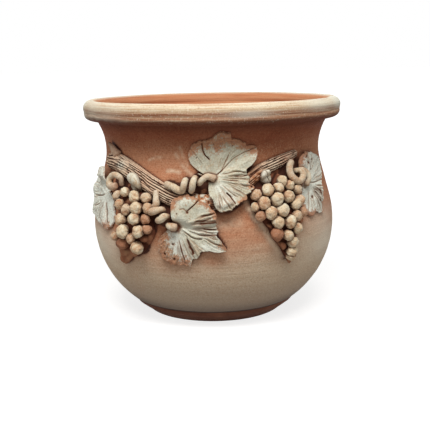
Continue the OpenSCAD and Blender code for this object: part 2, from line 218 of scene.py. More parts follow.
def hand_circle(turn):
    """Points on a circle, so that lumps() drawn round an edge meet after the full turn"""
    return np.stack([np.cos(turn) * 20, np.sin(turn) * 20, np.zeros(len(turn))], -1)


def rings_out(turn, rings, power=1.0):
    """Share of the reach and direction for rings about a middle, closer towards the edge"""
    share = np.sin(np.linspace(0, 1, rings + 1)[1:] * math.pi / 2) ** power
    return np.meshgrid(share, turn, indexing="ij")


# ---- meshes ----

def in_scene(name, data):
    """A new object of this name in the scene"""
    obj = bpy.data.objects.new(name, data)
    bpy.context.scene.collection.objects.link(obj)
    return obj


def add_piece(name, mesh, material):
    mesh.materials.clear()
    mesh.materials.append(material)
    mesh.polygons.foreach_set("use_smooth", np.ones(len(mesh.polygons), bool))
    mesh.update()
    return in_scene(name, mesh)


def set_values(mesh, **values):
    """Stores a number at each point for the materials to read"""
    for name, numbers in values.items():
        layer = mesh.attributes.get(name) or mesh.attributes.new(name, "FLOAT", "POINT")
        layer.data.foreach_set("value", np.asarray(numbers, np.float32).ravel())


def values_of(mesh, name):
    """The stored numbers of this name, or zeros where the mesh has none"""
    numbers = np.zeros(len(mesh.vertices), np.float32)
    if name in mesh.attributes:
        mesh.attributes[name].data.foreach_get("value", numbers)
    return numbers


def points_of(mesh):
    """The mesh's points in millimetres"""
    co = np.zeros(len(mesh.vertices) * 3, np.float32)
    mesh.vertices.foreach_get("co", co)
    return co.reshape(-1, 3).astype(float) / MM


def closed_mesh(name, rings, first, last):
    """A solid from a stack of rings, closed by a point at each end"""
    rings = np.asarray(rings, float)
    count, n = rings.shape[:2]
    points = np.concatenate([[first], rings.reshape(-1, 3), [last]]) * MM
    k, i = np.meshgrid(np.arange(count - 1), np.arange(n), indexing="ij")
    a = 1 + k * n + i
    b = 1 + k * n + (i + 1) % n
    quads = np.stack([a, b, b + n, a + n], -1).reshape(-1, 4)
    ring = np.arange(n)
    top = np.stack([np.zeros(n, int), 1 + (ring + 1) % n, 1 + ring], -1)
    end = len(points) - 1
    start = 1 + (count - 1) * n
    foot = np.stack([np.full(n, end), start + ring, start + (ring + 1) % n], -1)
    corners = np.concatenate([quads[:, [0, 1, 2]], quads[:, [0, 2, 3]], top, foot])
    a, b, c = (points[corners[:, k]] for k in range(3))
    # The volume comes out below zero when the faces look inward
    if np.einsum("ij,ij->", a, np.cross(b, c)) < 0:
        quads, top, foot = quads[:, ::-1], top[:, ::-1], foot[:, ::-1]
    mesh = bpy.data.meshes.new(name)
    mesh.from_pydata(points.tolist(), [], quads.tolist() + top.tolist() + foot.tolist())
    return mesh


def face_values(face, below, fill=0.0, first=0.0, last=0.0, axis=0):
    """Numbers for a closed mesh: its face's, then one for the rings below and for each end"""
    rest = np.full(below.shape[:2], fill, float)
    return np.concatenate([[first], np.concatenate([face, rest], axis).ravel(), [last]])


def slab(name, across, up, over, under, middle, step, crown=None):
    """A solid of rings about a middle on the wall, between its upper and its lower heights

    One ring in so many, by the step, is kept for the side that lies on the wall. These lower
    rings are given back too, because face_values() needs their number. The crown is the
    middle's own height, where it isn't the mean of the innermost ring's."""
    keep = np.arange(len(across) - 1, -1, -step)
    below = on_wall(across[keep], up[keep], under[keep])
    crown = over[0].mean() if crown is None else crown
    mesh = closed_mesh(name, np.concatenate([on_wall(across, up, over), below]),
                       on_wall(*middle, crown), on_wall(*middle, under[0].mean()))
    return mesh, below


def turned_copy(obj, name):
    """The same piece on the far side of the pot"""
    mesh = obj.data.copy()
    mesh.name = name
    mesh.transform(Matrix.Rotation(math.pi, 4, "Z"))
    return in_scene(name, mesh)


# ---- nodes ----

class NodeMaker:
    """Adds nodes to a tree, with each input given as a value or as the socket to link to it"""

    def __init__(self, tree):
        self.tree = tree

    def add(self, kind, given=None, **settings):
        node = self.tree.nodes.new(kind)
        for key, value in settings.items():
            setattr(node, key, value)
        for key, value in (given or {}).items():
            if isinstance(value, bpy.types.NodeSocket):
                self.tree.links.new(value, node.inputs[key])
            else:
                node.inputs[key].default_value = value
        return node

    def math(self, operation, a, b=0.0):
        return self.add("ShaderNodeMath", {0: a, 1: b}, operation=operation).outputs[0]


class ShapeTree(NodeMaker):
    """A Geometry Nodes tree with named inputs, whose result is kept as a plain mesh"""

    def __init__(self, name, **inputs):
        super().__init__(bpy.data.node_groups.new(name, "GeometryNodeTree"))
        face = self.tree.interface
        face.new_socket("Geometry", in_out="INPUT", socket_type="NodeSocketGeometry")
        self.sockets = {}
        for label, value in {**inputs, "Clay": None}.items():
            kind = ("NodeSocketInt" if isinstance(value, int) else
                    "NodeSocketMaterial" if value is None else "NodeSocketFloat")
            socket = face.new_socket(label, in_out="INPUT", socket_type=kind)
            if value is not None:
                socket.default_value = value
            self.sockets[label] = socket.identifier
        face.new_socket("Geometry", in_out="OUTPUT", socket_type="NodeSocketGeometry")
        self.given = self.add("NodeGroupInput").outputs

    def push(self, geometry, height):
        """Moves points along their normals by a height in millimetres"""
        normal = self.add("GeometryNodeInputNormal").outputs[0]
        height = self.math("MULTIPLY", height, MM)
        offset = self.add("ShaderNodeVectorMath", {0: normal, "Scale": height}, operation="SCALE")
        return self.add("GeometryNodeSetPosition", {
            "Geometry": geometry, "Offset": offset.outputs[0]}).outputs[0]

    def stretched_noise(self, scale, detail, seed):
        """Noise about zero at each point, with its own scale along each axis"""
        place = self.add("GeometryNodeInputPosition").outputs[0]
        place = self.add("ShaderNodeVectorMath", {0: place, 1: scale}, operation="MULTIPLY")
        noise = self.add("ShaderNodeTexNoise", {
            "Vector": place.outputs[0], "W": seed, "Scale": 1.0, "Detail": detail},
            noise_dimensions="4D")
        return self.math("SUBTRACT", noise.outputs[0], 0.5)

    def close(self, geometry):
        """Ends the tree with its shape as real faces in the given clay"""
        geometry = self.add("GeometryNodeRealizeInstances", {0: geometry}).outputs[0]
        geometry = self.add("GeometryNodeSetMaterial", {
            "Geometry": geometry, "Material": self.given["Clay"]}).outputs[0]
        self.tree.links.new(geometry, self.add("NodeGroupOutput").inputs[0])
        return self

    def grow(self, name, source, material, **sizes):
        """Makes the piece from a source object, which is used up"""
        modifier = source.modifiers.new(name, "NODES")
        modifier.node_group = self.tree
        for label, value in {**sizes, "Clay": material}.items():
            modifier[self.sockets[label]] = value
        graph = bpy.context.evaluated_depsgraph_get()
        mesh = bpy.data.meshes.new_from_object(source.evaluated_get(graph), depsgraph=graph)
        source.modifiers.remove(modifier)
        bpy.data.objects.remove(source)
        mesh.name = name
        return add_piece(name, mesh, material)


def line_object(name, points, radii=None, closed=False):
    """A line through points, in millimetres, for a shape tree to work on"""
    curve = bpy.data.curves.new(name, "CURVE")
    curve.dimensions = "3D"
    spline = curve.splines.new("POLY")
    spline.points.add(len(points) - 1)
    for k, (mark, at) in enumerate(zip(spline.points, points)):
        mark.co = (*(float(v) * MM for v in at), 1)
        mark.radius = 1.0 if radii is None else float(radii[k])
    spline.use_cyclic_u = closed
    return in_scene(name, curve)


def lathe_tree():
    """Turns a closed outline of radius and height round the upright axis"""
    tree = ShapeTree("thrown_on_the_wheel", Segments=420, RingDepth=0.9, WobbleDepth=1.2,
                     Seed=3.0)
    given = tree.given
    axis = tree.add("GeometryNodeCurvePrimitiveCircle", {
        "Resolution": given["Segments"], "Radius": AXIS_R}).outputs["Curve"]
    body = tree.add("GeometryNodeCurveToMesh", {
        "Curve": axis, "Profile Curve": given["Geometry"]}).outputs[0]
    rings = tree.stretched_noise((3.0, 3.0, 130.0), 3.0, given["Seed"])
    wobble = tree.stretched_noise((9.0, 9.0, 9.0), 1.0, given["Seed"])
    height = tree.math("ADD", tree.math("MULTIPLY", rings, given["RingDepth"]),
                       tree.math("MULTIPLY", wobble, given["WobbleDepth"]))
    return tree.close(tree.push(body, height))


def rope_tree():
    """Rolls a rope of clay along a line, whose points carry its half thickness in millimetres"""
    tree = ShapeTree("rolled_by_hand", StepLength=1.1, Sides=20, LumpDepth=1.1, Seed=5.0)
    given = tree.given
    smooth = tree.add("GeometryNodeCurveSplineType", {"Curve": given["Geometry"]},
                      spline_type="CATMULL_ROM").outputs[0]
    step = tree.math("MULTIPLY", given["StepLength"], MM)
    line = tree.add("GeometryNodeResampleCurve", {"Curve": smooth, "Length": step},
                    mode="LENGTH").outputs[0]
    ring = tree.add("GeometryNodeCurvePrimitiveCircle", {
        "Resolution": given["Sides"], "Radius": MM}).outputs[0]
    thick = tree.add("GeometryNodeInputRadius").outputs[0]
    body = tree.add("GeometryNodeCurveToMesh", {
        "Curve": line, "Profile Curve": ring, "Scale": thick, "Fill Caps": True}).outputs[0]
    body = tree.add("GeometryNodeMergeByDistance", {"Geometry": body, "Distance": 1e-5}).outputs[0]
    dents = tree.stretched_noise((110.0, 110.0, 110.0), 2.0, given["Seed"])
    depth = tree.math("MULTIPLY", given["LumpDepth"], 2.0)
    return tree.close(tree.push(body, tree.math("MULTIPLY", dents, depth)))


def berry_tree():
    """Puts a hand-rolled ball at each point, which carries its radius in millimetres"""
    tree = ShapeTree("rolled_in_the_palm", Fineness=5, DentDepth=2.7, Seed=7)
    given = tree.given

    def spread(low, high):
        return tree.add("FunctionNodeRandomValue", {
            "Min": low, "Max": high, "Seed": given["Seed"]}, data_type="FLOAT_VECTOR").outputs[0]

    ball = tree.add("GeometryNodeMeshIcoSphere", {
        "Radius": MM, "Subdivisions": given["Fineness"]}).outputs[0]
    size = tree.add("GeometryNodeInputNamedAttribute", {"Name": "ball_size"},
                    data_type="FLOAT").outputs[0]
    turn = tree.add("FunctionNodeEulerToRotation", {
        0: spread((0.0, 0.0, 0.0), (6.28, 6.28, 6.28))}).outputs[0]
    squash = spread((1.0, 0.96, 0.92), (1.12, 1.08, 1.05))
    scale = tree.add("ShaderNodeVectorMath", {0: squash, "Scale": size}, operation="SCALE")
    cloud = tree.add("GeometryNodeMeshToPoints", {"Mesh": given["Geometry"]}).outputs[0]
    balls = tree.add("GeometryNodeInstanceOnPoints", {
        "Points": cloud, "Instance": ball, "Rotation": turn, "Scale": scale.outputs[0]}).outputs[0]
    balls = tree.add("GeometryNodeRealizeInstances", {0: balls}).outputs[0]
    dents = tree.stretched_noise((130.0, 130.0, 130.0), 2.0, 2.0)
    fine = tree.stretched_noise((420.0, 420.0, 420.0), 1.0, 4.0)
    depth = tree.math("MULTIPLY", given["DentDepth"], 2.0)
    height = tree.math("ADD", tree.math("MULTIPLY", dents, depth),
                       tree.math("MULTIPLY", fine, 0.5))
    return tree.close(tree.push(balls, height))


# ---- materials ----

def tint(code):
    """A colour from its usual six digits"""
    parts = [int(code[k:k + 2], 16) / 255 for k in (0, 2, 4)]
    return tuple(p / 12.92 if p <= 0.04045 else ((p + 0.055) / 1.055) ** 2.4 for p in parts) + (1,)


class Finish(NodeMaker):
    """A material of a Principled surface, with helpers for layers of colour and for bump"""

    def __init__(self, name, roughness, specular=0.3):
        self.material = bpy.data.materials.new(name)
        self.material.use_nodes = True
        super().__init__(self.material.node_tree)
        self.surface = self.tree.nodes["Principled BSDF"].inputs
        self.surface["Specular IOR Level"].default_value = specular
        self.surface["Roughness"].default_value = roughness
        self.place = self.add("ShaderNodeTexCoord").outputs["Object"]

    def noise(self, scale, detail=4.0, rough=0.55, stretch=None, warp=0.0):
        place = self.place
        if stretch:
            place = self.add("ShaderNodeMapping", {"Vector": place, "Scale": stretch}).outputs[0]
        return self.add("ShaderNodeTexNoise", {
            "Vector": place, "Scale": scale, "Detail": detail, "Roughness": rough,
            "Distortion": warp}).outputs["Fac"]

    def value(self, name):
        return self.add("ShaderNodeAttribute", attribute_name=name).outputs["Fac"]

    def between(self, x, low, high, to_low=0.0, to_high=1.0):
        return self.add("ShaderNodeMapRange", {
            "Value": x, "From Min": low, "From Max": high, "To Min": to_low, "To Max": to_high},
            interpolation_type="SMOOTHSTEP").outputs[0]

    def mix(self, share, under, over, blend="MIX"):
        node = self.add("ShaderNodeMix", {"Factor": share}, data_type="RGBA", blend_type=blend)
        for key, value in (("A", under), ("B", over)):
            socket = [s for s in node.inputs if s.name == key and s.type == "RGBA"][0]
            if isinstance(value, bpy.types.NodeSocket):
                self.tree.links.new(value, socket)
            else:
                socket.default_value = tint(value)
        return [s for s in node.outputs if s.type == "RGBA"][0]

    def coats(self, under, *coats):
        """Lays coats over a colour in turn

        Each is a colour, what it follows, where it starts and is full, its share and its blend."""
        for over, x, low, high, share, *blend in coats:
            under = self.mix(self.between(x, low, high, 0.0, share), under, over, *blend)
        return under

    def ramp(self, x, *stops):
        node = self.add("ShaderNodeValToRGB", {"Fac": x})
        marks = node.color_ramp.elements
        while len(marks) < len(stops):
            marks.new(0.5)
        for mark, (at, colour) in zip(marks, stops):
            mark.position = at
            mark.color = tint(colour)
        return node.outputs["Color"]

    def done(self, colour, bumps, roughness):
        """Links the colour, the roughness and bumps of a height and a depth in millimetres"""
        normal = None
        for height, depth in bumps:
            given = {"Height": height, "Distance": depth * MM}
            if normal is not None:
                given["Normal"] = normal
            normal = self.add("ShaderNodeBump", given).outputs[0]
        for name, value in (("Base Color", colour), ("Roughness", roughness), ("Normal", normal)):
            self.tree.links.new(value, self.surface[name])
        return self.material


# Heights on the pot in metres: the step over the foot band, where a painted shadow line runs, and
# the fold between the rim's rolls, where painted shade runs
STEP_SHADOW_Z, FOLD_Z = 0.0226, 0.3152


def pot_finish():
    m = Finish("terracotta", 0.85)
    height = m.add("ShaderNodeSeparateXYZ", {0: m.place}).outputs["Z"]
    step_shadow_gap = m.math("ABSOLUTE", m.math("SUBTRACT", height, STEP_SHADOW_Z))
    fold = m.math("ABSOLUTE", m.math("SUBTRACT", height, FOLD_Z))
    streak = m.noise(1.0, 6.0, 0.6, (7.0, 7.0, 190.0))
    brush = m.noise(1.0, 5.0, 0.7, (14.0, 14.0, 520.0))
    patch = m.noise(14.0, 5.0, 0.6, warp=0.6)
    grain = m.noise(900.0, 3.0, 0.7)
    speck = m.noise(1700.0, 1.0, 0.5)
    flecks = m.noise(430.0, 3.0, 0.65)

    # The bare clay, with painted shade on the neck where the rim keeps the light off, darkest just
    # under the rim
    clay = m.coats(m.ramp(patch, (0.30, "aa6b4a"), (0.50, "be7e59"), (0.72, "ca906d")),
                   ("d0a07c", streak, 0.45, 0.75, 0.30), ("dcae8a", flecks, 0.50, 0.68, 0.45),
                   ("84482f", flecks, 0.47, 0.30, 0.50))
    clay = m.mix(m.value("shade"), clay, "c9ada2", "MULTIPLY")
    clay = m.coats(clay, ("9a867e", height, 0.283, 0.304, 0.75, "MULTIPLY"))

    # The pale wash over it, paler towards the sides with painted light, then darker and greyer
    # towards the foot with painted shade, then the brown foot band and a painted shadow line at its
    # step
    pale = m.coats(m.ramp(streak, (0.20, "cfb597"), (0.52, "d7bfa1"), (0.85, "e0caae")),
                   ("cda485", patch, 0.5, 0.75, 0.30), ("eadcc4", flecks, 0.50, 0.68, 0.50),
                   ("b08262", flecks, 0.47, 0.30, 0.50))
    pale = m.mix(m.math("MULTIPLY", m.value("frost"), 0.75), pale, "f7ead3")
    band = m.ramp(patch, (0.35, "6e4230"), (0.65, "8f5f48"))
    colour = m.coats(m.mix(m.value("wash"), clay, pale),
                     ("a08f80", height, 0.086, 0.040, 0.50),
                     ("70625d", height, 0.048, 0.025, 0.60),
                     (band, height, 0.0235, 0.0215, 1.0),
                     ("2c1712", step_shadow_gap, 0.0030, 0.0008, 0.85))

    # The rim: cream on top, browner towards its lower half with painted shade, rust below it, then
    # painted shade in the fold and under the lower roll, and pale patches with painted side light
    rust = m.ramp(brush, (0.40, "965a3e"), (0.50, "b97f5e"), (0.62, "d3b391"))
    cream = m.coats(m.ramp(brush, (0.38, "cfab88"), (0.50, "e4d3b4"), (0.62, "ede2c9")),
                    ("cc9b76", streak, 0.50, 0.70, 0.30),
                    ("b6976f", height, 0.3310, 0.3175, 0.65),
                    (rust, height, 0.3245, 0.3180, 0.85),
                    ("6b4632", fold, 0.0016, 0.0004, 0.30),
                    ("5a4032", height, 0.3120, 0.3045, 0.85),
                    ("ebe3cd", flecks, 0.56, 0.68, 0.55),
                    ("a57c5c", flecks, 0.43, 0.32, 0.55))
    cream = m.mix(m.math("MULTIPLY", m.value("frost"), 0.9), cream, "e9e7d5")
    colour = m.mix(m.value("rim"), colour, cream)
    colour = m.mix(m.value("inside"), colour,
                   m.ramp(streak, (0.3, "b5704a"), (0.5, "cd8a61"), (0.72, "d9a278")))

    # Brown clay left bare in the hollows with painted shade, darkest in the deepest, the smears of
    # slip beside it with a pale patch of painted light, and specks over everything
    stain_and_shade = m.math("MULTIPLY", m.value("near"), m.between(m.noise(60.0, 4.0), 0.3, 0.6, 0.6, 0.95))
    colour = m.mix(stain_and_shade, colour, "71402b")
    colour = m.coats(colour, ("3c1b10", m.value("near"), 0.60, 1.0, 0.85))
    halo = m.math("MULTIPLY", m.value("halo"), m.between(m.noise(160.0, 4.0), 0.30, 0.55, 0.4, 1.0))
    colour = m.coats(m.mix(halo, colour, "ecd0b0"),
                     ("6f4630", grain, 0.35, 0.75, 0.22, "MULTIPLY"),
                     ("5a3a2a", speck, 0.66, 0.74, 0.35))
    return m.done(colour, [(streak, 0.7), (brush, 0.4), (grain, 0.4)],
                  m.between(streak, 0.2, 0.8, 0.78, 0.95))


def leaf_finish():
    """Pale slip, rubbed off in warm patches and dark brown in the folds, with painted shade there;
    paler all over the side leaves as painted light
    """
    m = Finish("leaf_patina", 0.9, 0.2)
    patch = m.noise(45.0, 6.0, 0.65, warp=0.5)
    warm = m.noise(70.0, 5.0, 0.7, warp=0.8)
    mottle = m.noise(160.0, 6.0, 0.75, warp=0.4)
    fine = m.noise(420.0, 5.0, 0.7)
    grain = m.noise(1300.0, 2.0, 0.6)
    pale = m.coats(m.ramp(patch, (0.28, "b6b09a"), (0.50, "ccc9b3"), (0.75, "dcdccb")),
                   ("cbae88", warm, 0.48, 0.68, 0.50))
    pale = m.coats(m.mix(m.value("frost"), pale, "f0f2e4"),
                   ("ae9b7c", fine, 0.50, 0.68, 0.55), ("eeebdd", fine, 0.46, 0.30, 0.60))
    worn = m.math("ADD", m.value("bare"), m.between(mottle, 0.30, 0.70, -0.55, 0.45))
    worn = m.math("ADD", worn, m.between(fine, 0.35, 0.65, -0.45, 0.25))
    low = m.value("crease")
    brown = m.ramp(fine, (0.3, "94573b"), (0.5, "b67854"), (0.7, "c99c77"))
    dark = m.ramp(fine, (0.3, "4a281a"), (0.7, "7a4a32"))
    # The creases tan, then near black with painted shade deeper in them
    colour = m.coats(pale, (brown, worn, 0.05, 0.95, 0.9), ("b28a68", low, 0.0, 0.45, 0.45),
                     (dark, low, 0.25, 0.95, 1.0), ("8f7358", grain, 0.60, 0.75, 0.30))
    return m.done(colour, [(fine, 1.4), (grain, 0.4)], m.between(patch, 0.2, 0.8, 0.82, 0.97))


def vine_finish():
    m = Finish("vine_bark", 0.9, 0.2)
    patch = m.noise(30.0, 5.0, 0.6)
    fine = m.noise(500.0, 5.0, 0.7)
    ridge = m.coats(m.ramp(patch, (0.3, "d0a184"), (0.5, "e3c0a1"), (0.72, "eed9bc")),
                    ("ecdcc0", fine, 0.46, 0.66, 0.80))
    ridge = m.mix(m.value("daub"), ridge, "e4e0cc")
    colour = m.mix(m.value("bare"), ridge, m.ramp(fine, (0.35, "a5623c"), (0.7, "d0976c")))
    # Dark brown in the scored grooves and pits: bare clay with painted shade
    colour = m.mix(m.value("crease"), colour, m.ramp(fine, (0.3, "35160c"), (0.7, "5e2c1a")))
    return m.done(colour, [(fine, 0.8), (m.noise(1300.0, 2.0), 0.3)],
                  m.between(patch, 0.2, 0.8, 0.84, 0.96))


def rolled_finish(name, low, body, light, crease):
    """Cream slip over rolled clay, rubbed off in patches and dark with painted shade where pieces
    meet
    """
    m = Finish(name, 0.85, 0.25)
    patch = m.noise(75.0, 5.0, 0.65, warp=0.8)
    fine = m.noise(520.0, 4.0, 0.7)
    speck = m.noise(650.0, 1.0, 0.5)
    cream = m.coats(m.ramp(patch, (0.32, low), (0.48, body), (0.68, light)),
                    (low, fine, 0.55, 0.75, 0.4), (low, m.value("tone"), 0.2, 1.0, 0.75),
                    ("8a6446", speck, 0.64, 0.72, 0.55), ("f0ead9", speck, 0.40, 0.30, 0.50))
    dirt_and_shade = m.math("MULTIPLY", m.value("crease"), m.between(fine, 0.2, 0.6, 0.7, 1.0))
    colour = m.mix(dirt_and_shade, cream, crease)
    colour = m.mix(m.value("bare"), colour, m.ramp(patch, (0.3, "7d4830"), (0.7, "ae7353")))
    return m.done(colour, [(fine, 0.5), (m.noise(1400.0, 2.0), 0.25)],
                  m.between(patch, 0.2, 0.8, 0.78, 0.95))


def pad_finish():
    m = Finish("pad_clay", 0.9, 0.2)
    patch = m.noise(60.0, 5.0, 0.65)
    fine = m.noise(520.0, 4.0, 0.7)
    colour = m.coats(m.ramp(patch, (0.3, "7a4630"), (0.5, "9a6549"), (0.72, "b98a68")),
                     ("c9a27c", fine, 0.55, 0.75, 0.4))
    # Dark brown in the pad's hollows among the berries, with painted shade
    colour = m.mix(m.value("crease"), colour, "4f2718")
    return m.done(colour, [(fine, 0.8), (m.noise(1300.0, 2.0), 0.3)],
                  m.between(patch, 0.2, 0.8, 0.84, 0.96))


# ---- the pot ----

def arc(middle, radius, start, end, count):
    a = np.radians(np.linspace(start, end, count))
    return np.stack([middle[0] + radius * np.cos(a), middle[1] + radius * np.sin(a)], -1)


def pot_outline():
    """Radius and height of the pot's section, all the way round, starting under the foot"""
    foot_r, drain_r = FOOT_D / 2, DRAIN_D / 2

    # The foot's face and rounded edge, then the foot band, which ends in a small step
    band_r = float(wall_radius(FOOT_H)) - 2.2
    edge, under_step = np.array([foot_r + 3.5, 2.5]), np.array([band_r - 3.6, FOOT_H - 7])
    foot = [(drain_r, 0), (foot_r - 60, 0), (foot_r - 20, 0), (foot_r - 1, 0),
            (foot_r + 1.6, 0.7), edge]
    flare = edge + np.linspace(0.12, 1, 9)[:, None] * (under_step - edge)
    band = [(band_r - 1.6, FOOT_H - 3.6), (band_r - 0.4, FOOT_H - 1.2), (band_r, FOOT_H)]

    # The wall up to the lower roll of the rim, left out where it would run inside that roll
    lip, roll = np.array([LIP_R, LIP_Z]), np.array([ROLL_R, ROLL_Z])
    heights = np.linspace(FOOT_H + 0.4, LIP_Z, 118)
    outer = np.stack([wall_radius(heights), heights], -1)
    clear = np.linalg.norm(outer - lip, axis=1) > LIP_ROLL / 2 + 0.3
    outer = outer[clear & ((heights < LIP_Z - 2) | (outer[:, 0] < LIP_R - LIP_ROLL / 2))]

    # The two rolls, each without what lies in the other or in the wall
    lower = arc(lip, LIP_ROLL / 2, -150, 30, 30)
    upper = arc(roll, RIM_ROLL / 2, -20, 200, 40)
    lower = lower[(np.linalg.norm(lower - roll, axis=1) > RIM_ROLL / 2)
                  & (lower[:, 0] > wall_radius(np.minimum(lower[:, 1], ROLL_Z)))]
    upper = upper[(np.linalg.norm(upper - lip, axis=1) > LIP_ROLL / 2)]
    upper = upper[(upper[:, 0] > wall_radius(np.minimum(upper[:, 1], ROLL_Z), WALL) + 0.3)
                  | (upper[:, 1] > ROLL_Z)]

    # Down the inside, across the floor and through the drain hole
    heights = np.linspace(ROLL_Z, FLOOR_T, 36)
    inner = np.stack([wall_radius(heights, WALL), heights], -1)
    inner = inner[(np.linalg.norm(inner - roll, axis=1) > RIM_ROLL / 2 + 0.3)
                  & (inner[:, 1] > FLOOR_T + 1)]
    floor_r = float(wall_radius(FLOOR_T, WALL))
    floor = [(floor_r - 3, FLOOR_T), (floor_r * 0.6, FLOOR_T), (drain_r + 8, FLOOR_T),
             (drain_r + 2, FLOOR_T - 0.5), (drain_r, FLOOR_T - 2.5), (drain_r, FLOOR_T / 2)]
    return np.concatenate([foot, flare, band, outer, lower, upper, inner, floor])


# Wobble never carries the pot past this distance inside its full size
INSIDE_CAD = 0.05

# Lines on the wall where pale slip was smeared, with the smear's width and strength. The last is
# a pale patch of painted light below the upper leaf, over its cast shadow
SMEARS_AND_LIT_PATCH = [
    ([(46, -7), (58, -27), (66, -37), (80, -61), (93, -80), (101, -91)], 4.0, 1.0),
    ([(-57, 62), (-51, 52), (-43, 42), (-32, 34)], 2.6, 0.6),
    ([(-50, 72), (-45, 57), (-38, 46)], 1.8, 0.5),
    ([(-104, 52), (-92, 56), (-82, 56)], 1.8, 0.6),
    ([(-70, 38), (-60, 39), (-51, 37)], 2.6, 0.9),
    ([(-62, -66), (-52, -80), (-34, -92), (-16, -96)], 3.0, 0.4),
    ([(128, -46), (116, -70), (108, -92)], 3.0, 0.4),
    # A pale patch of painted light below the upper leaf, over its cast shadow
    ([(0, -33), (16, -34), (33, -32)], 8.0, 0.45)]

# Lines on the wall that stay clear of the brown and painted shade in the hollows, with their width
CLEAR = [([(146, 62), (158, 56)], 9.0), ([(-225, 30), (-200, 27)], 13.0),
         ([(2, -30), (32, -31)], 10.0)]


# Height of the wash's edge by the direction from the front in degrees
WASH_EDGE = [(-90, 150), (-65, 164), (-45, 124), (-30, 120), (-15, 118), (0, 122), (15, 131),
             (30, 138), (45, 152), (62, 164), (90, 150)]

# Across, up and both half sizes of the patch of thinner wash between the lower leaf and the foot
THIN_WASH = (-1, -84, 19, 11)


def make_pot(material, cover):
    source = line_object("pot_section", [(r, -z, 0.0) for r, z in pot_outline()], closed=True)
    pot = lathe_tree().grow("terracotta_pot", source, material, Segments=420)
    mesh = pot.data
    mesh.flip_normals()
    p = points_of(mesh)
    p[:, 2] = np.clip(p[:, 2], 0, POT_H - INSIDE_CAD)
    p[:, :2] *= np.minimum(1, (RIM_D / 2 - INSIDE_CAD) / np.hypot(p[:, 0], p[:, 1]))[:, None]
    mesh.vertices.foreach_set("co", (p * MM).ravel())
    mark_pot(mesh, p, cover)
    return pot


def mark_pot(mesh, p, cover):
    """Stores where the pot's wash, rim, inside, painted shade under the rim, brown and painted shade
    in the hollows, smears and painted light patch, and pale patches and painted side light are
    """
    z = p[:, 2]
    r = np.hypot(p[:, 0], p[:, 1])
    turn = np.degrees(np.arctan2(p[:, 0], -p[:, 1]))
    # The far side is marked like the front
    front = (turn + 90) % 180 - 90
    spun = np.where((np.abs(turn) > 90)[:, None], p * (-1, -1, 1), p)
    across, up, _ = off_wall(spun)

    drift = rough(p, (60, 60, 26), 11) * 16 + rough(p, (30, 30, 5), 17) * 7
    wash = ease(44, -48, z - lookup(WASH_EDGE, front) + drift)
    x, y, wide, high = THIN_WASH
    wash = wash * (1 - 0.7 * np.exp(-((across - x) / wide) ** 2 - ((up - y) / high) ** 2))

    middle = wall_radius(np.clip(z, FOOT_H, ROLL_Z), WALL / 2)
    inside = ((r < middle) & (z > FLOOR_T - 1) & (z < ROLL_Z)).astype(float)
    inside = np.maximum(inside, (z >= ROLL_Z) * ease(186, 179, r))
    on_roll = ((np.hypot(r - ROLL_R, z - ROLL_Z) < RIM_ROLL / 2 + 1.2)
               | (np.hypot(r - LIP_R, z - LIP_Z) < LIP_ROLL / 2 + 1.2))
    rim = on_roll * ease(303, 312, z + rough(p, (20, 20, 6), 23) * 3)
    rim = rim * ease(RIM_D / 2 - 24.5, RIM_D / 2 - 19, r + rough(p, (30, 30, 10), 29) * 2)
    # Painted shade on the neck, where the rim keeps the light off
    shade = ease(256, 288, z + rough(p, (50, 50, 14), 31) * 6) * ease(319, 308, z) * (1 - inside)

    outside = (inside < 0.5) & (z > 50) & (z < 306)
    # Brown clay left bare in the hollows beside the garland, with painted shade there
    hollow = np.where(outside, np.maximum(cover.hollow(spun, 3), 0), 0)
    wider = np.where(outside, cover.hollow(spun, 7), 0)
    near = np.maximum(ease(0.8, 5.0, hollow), 0.15 * ease(1.2, 6.0, wider))
    place = flat(across, up)[:, :2]
    smear_and_lit_patch = np.max([strength * near_line(place, line, w) for line, w, strength in SMEARS_AND_LIT_PATCH], 0)
    smear_and_lit_patch = smear_and_lit_patch * outside * ease(-1.0, -0.2, lumps(p, (12, 12, 12), 41))
    near = near * (1 - 0.97 * smear_and_lit_patch)
    for line, w in CLEAR:
        near = near * (1 - 0.8 * near_line(place, line, w))

    # Painted light: the belly, and the rim in patches, paler towards the sides. A pale patch on the
    # rim right of front
    frost = ease(30, 56, np.abs(front)) * ease(1.0, -0.3, lumps(p, (40, 40, 40), 47))
    frost = frost * np.where(front > 0, ease(312, 322, z), 1)
    frost = np.maximum(frost, 0.6 * bell(front - 15, 9) * ease(310, 315, z) * ease(324, 319, z))
    sides = ease(36, 64, np.abs(front) + rough(p, (50, 50, 20), 37) * 6) * ease(75, 120, z)
    frost = np.where(z < 300, sides, frost)
    set_values(mesh, wash=wash, inside=inside, rim=rim, shade=shade, near=near, halo=smear_and_lit_patch,
               frost=frost)


# ---- brown clay left bare in the hollows, and painted shade there ----

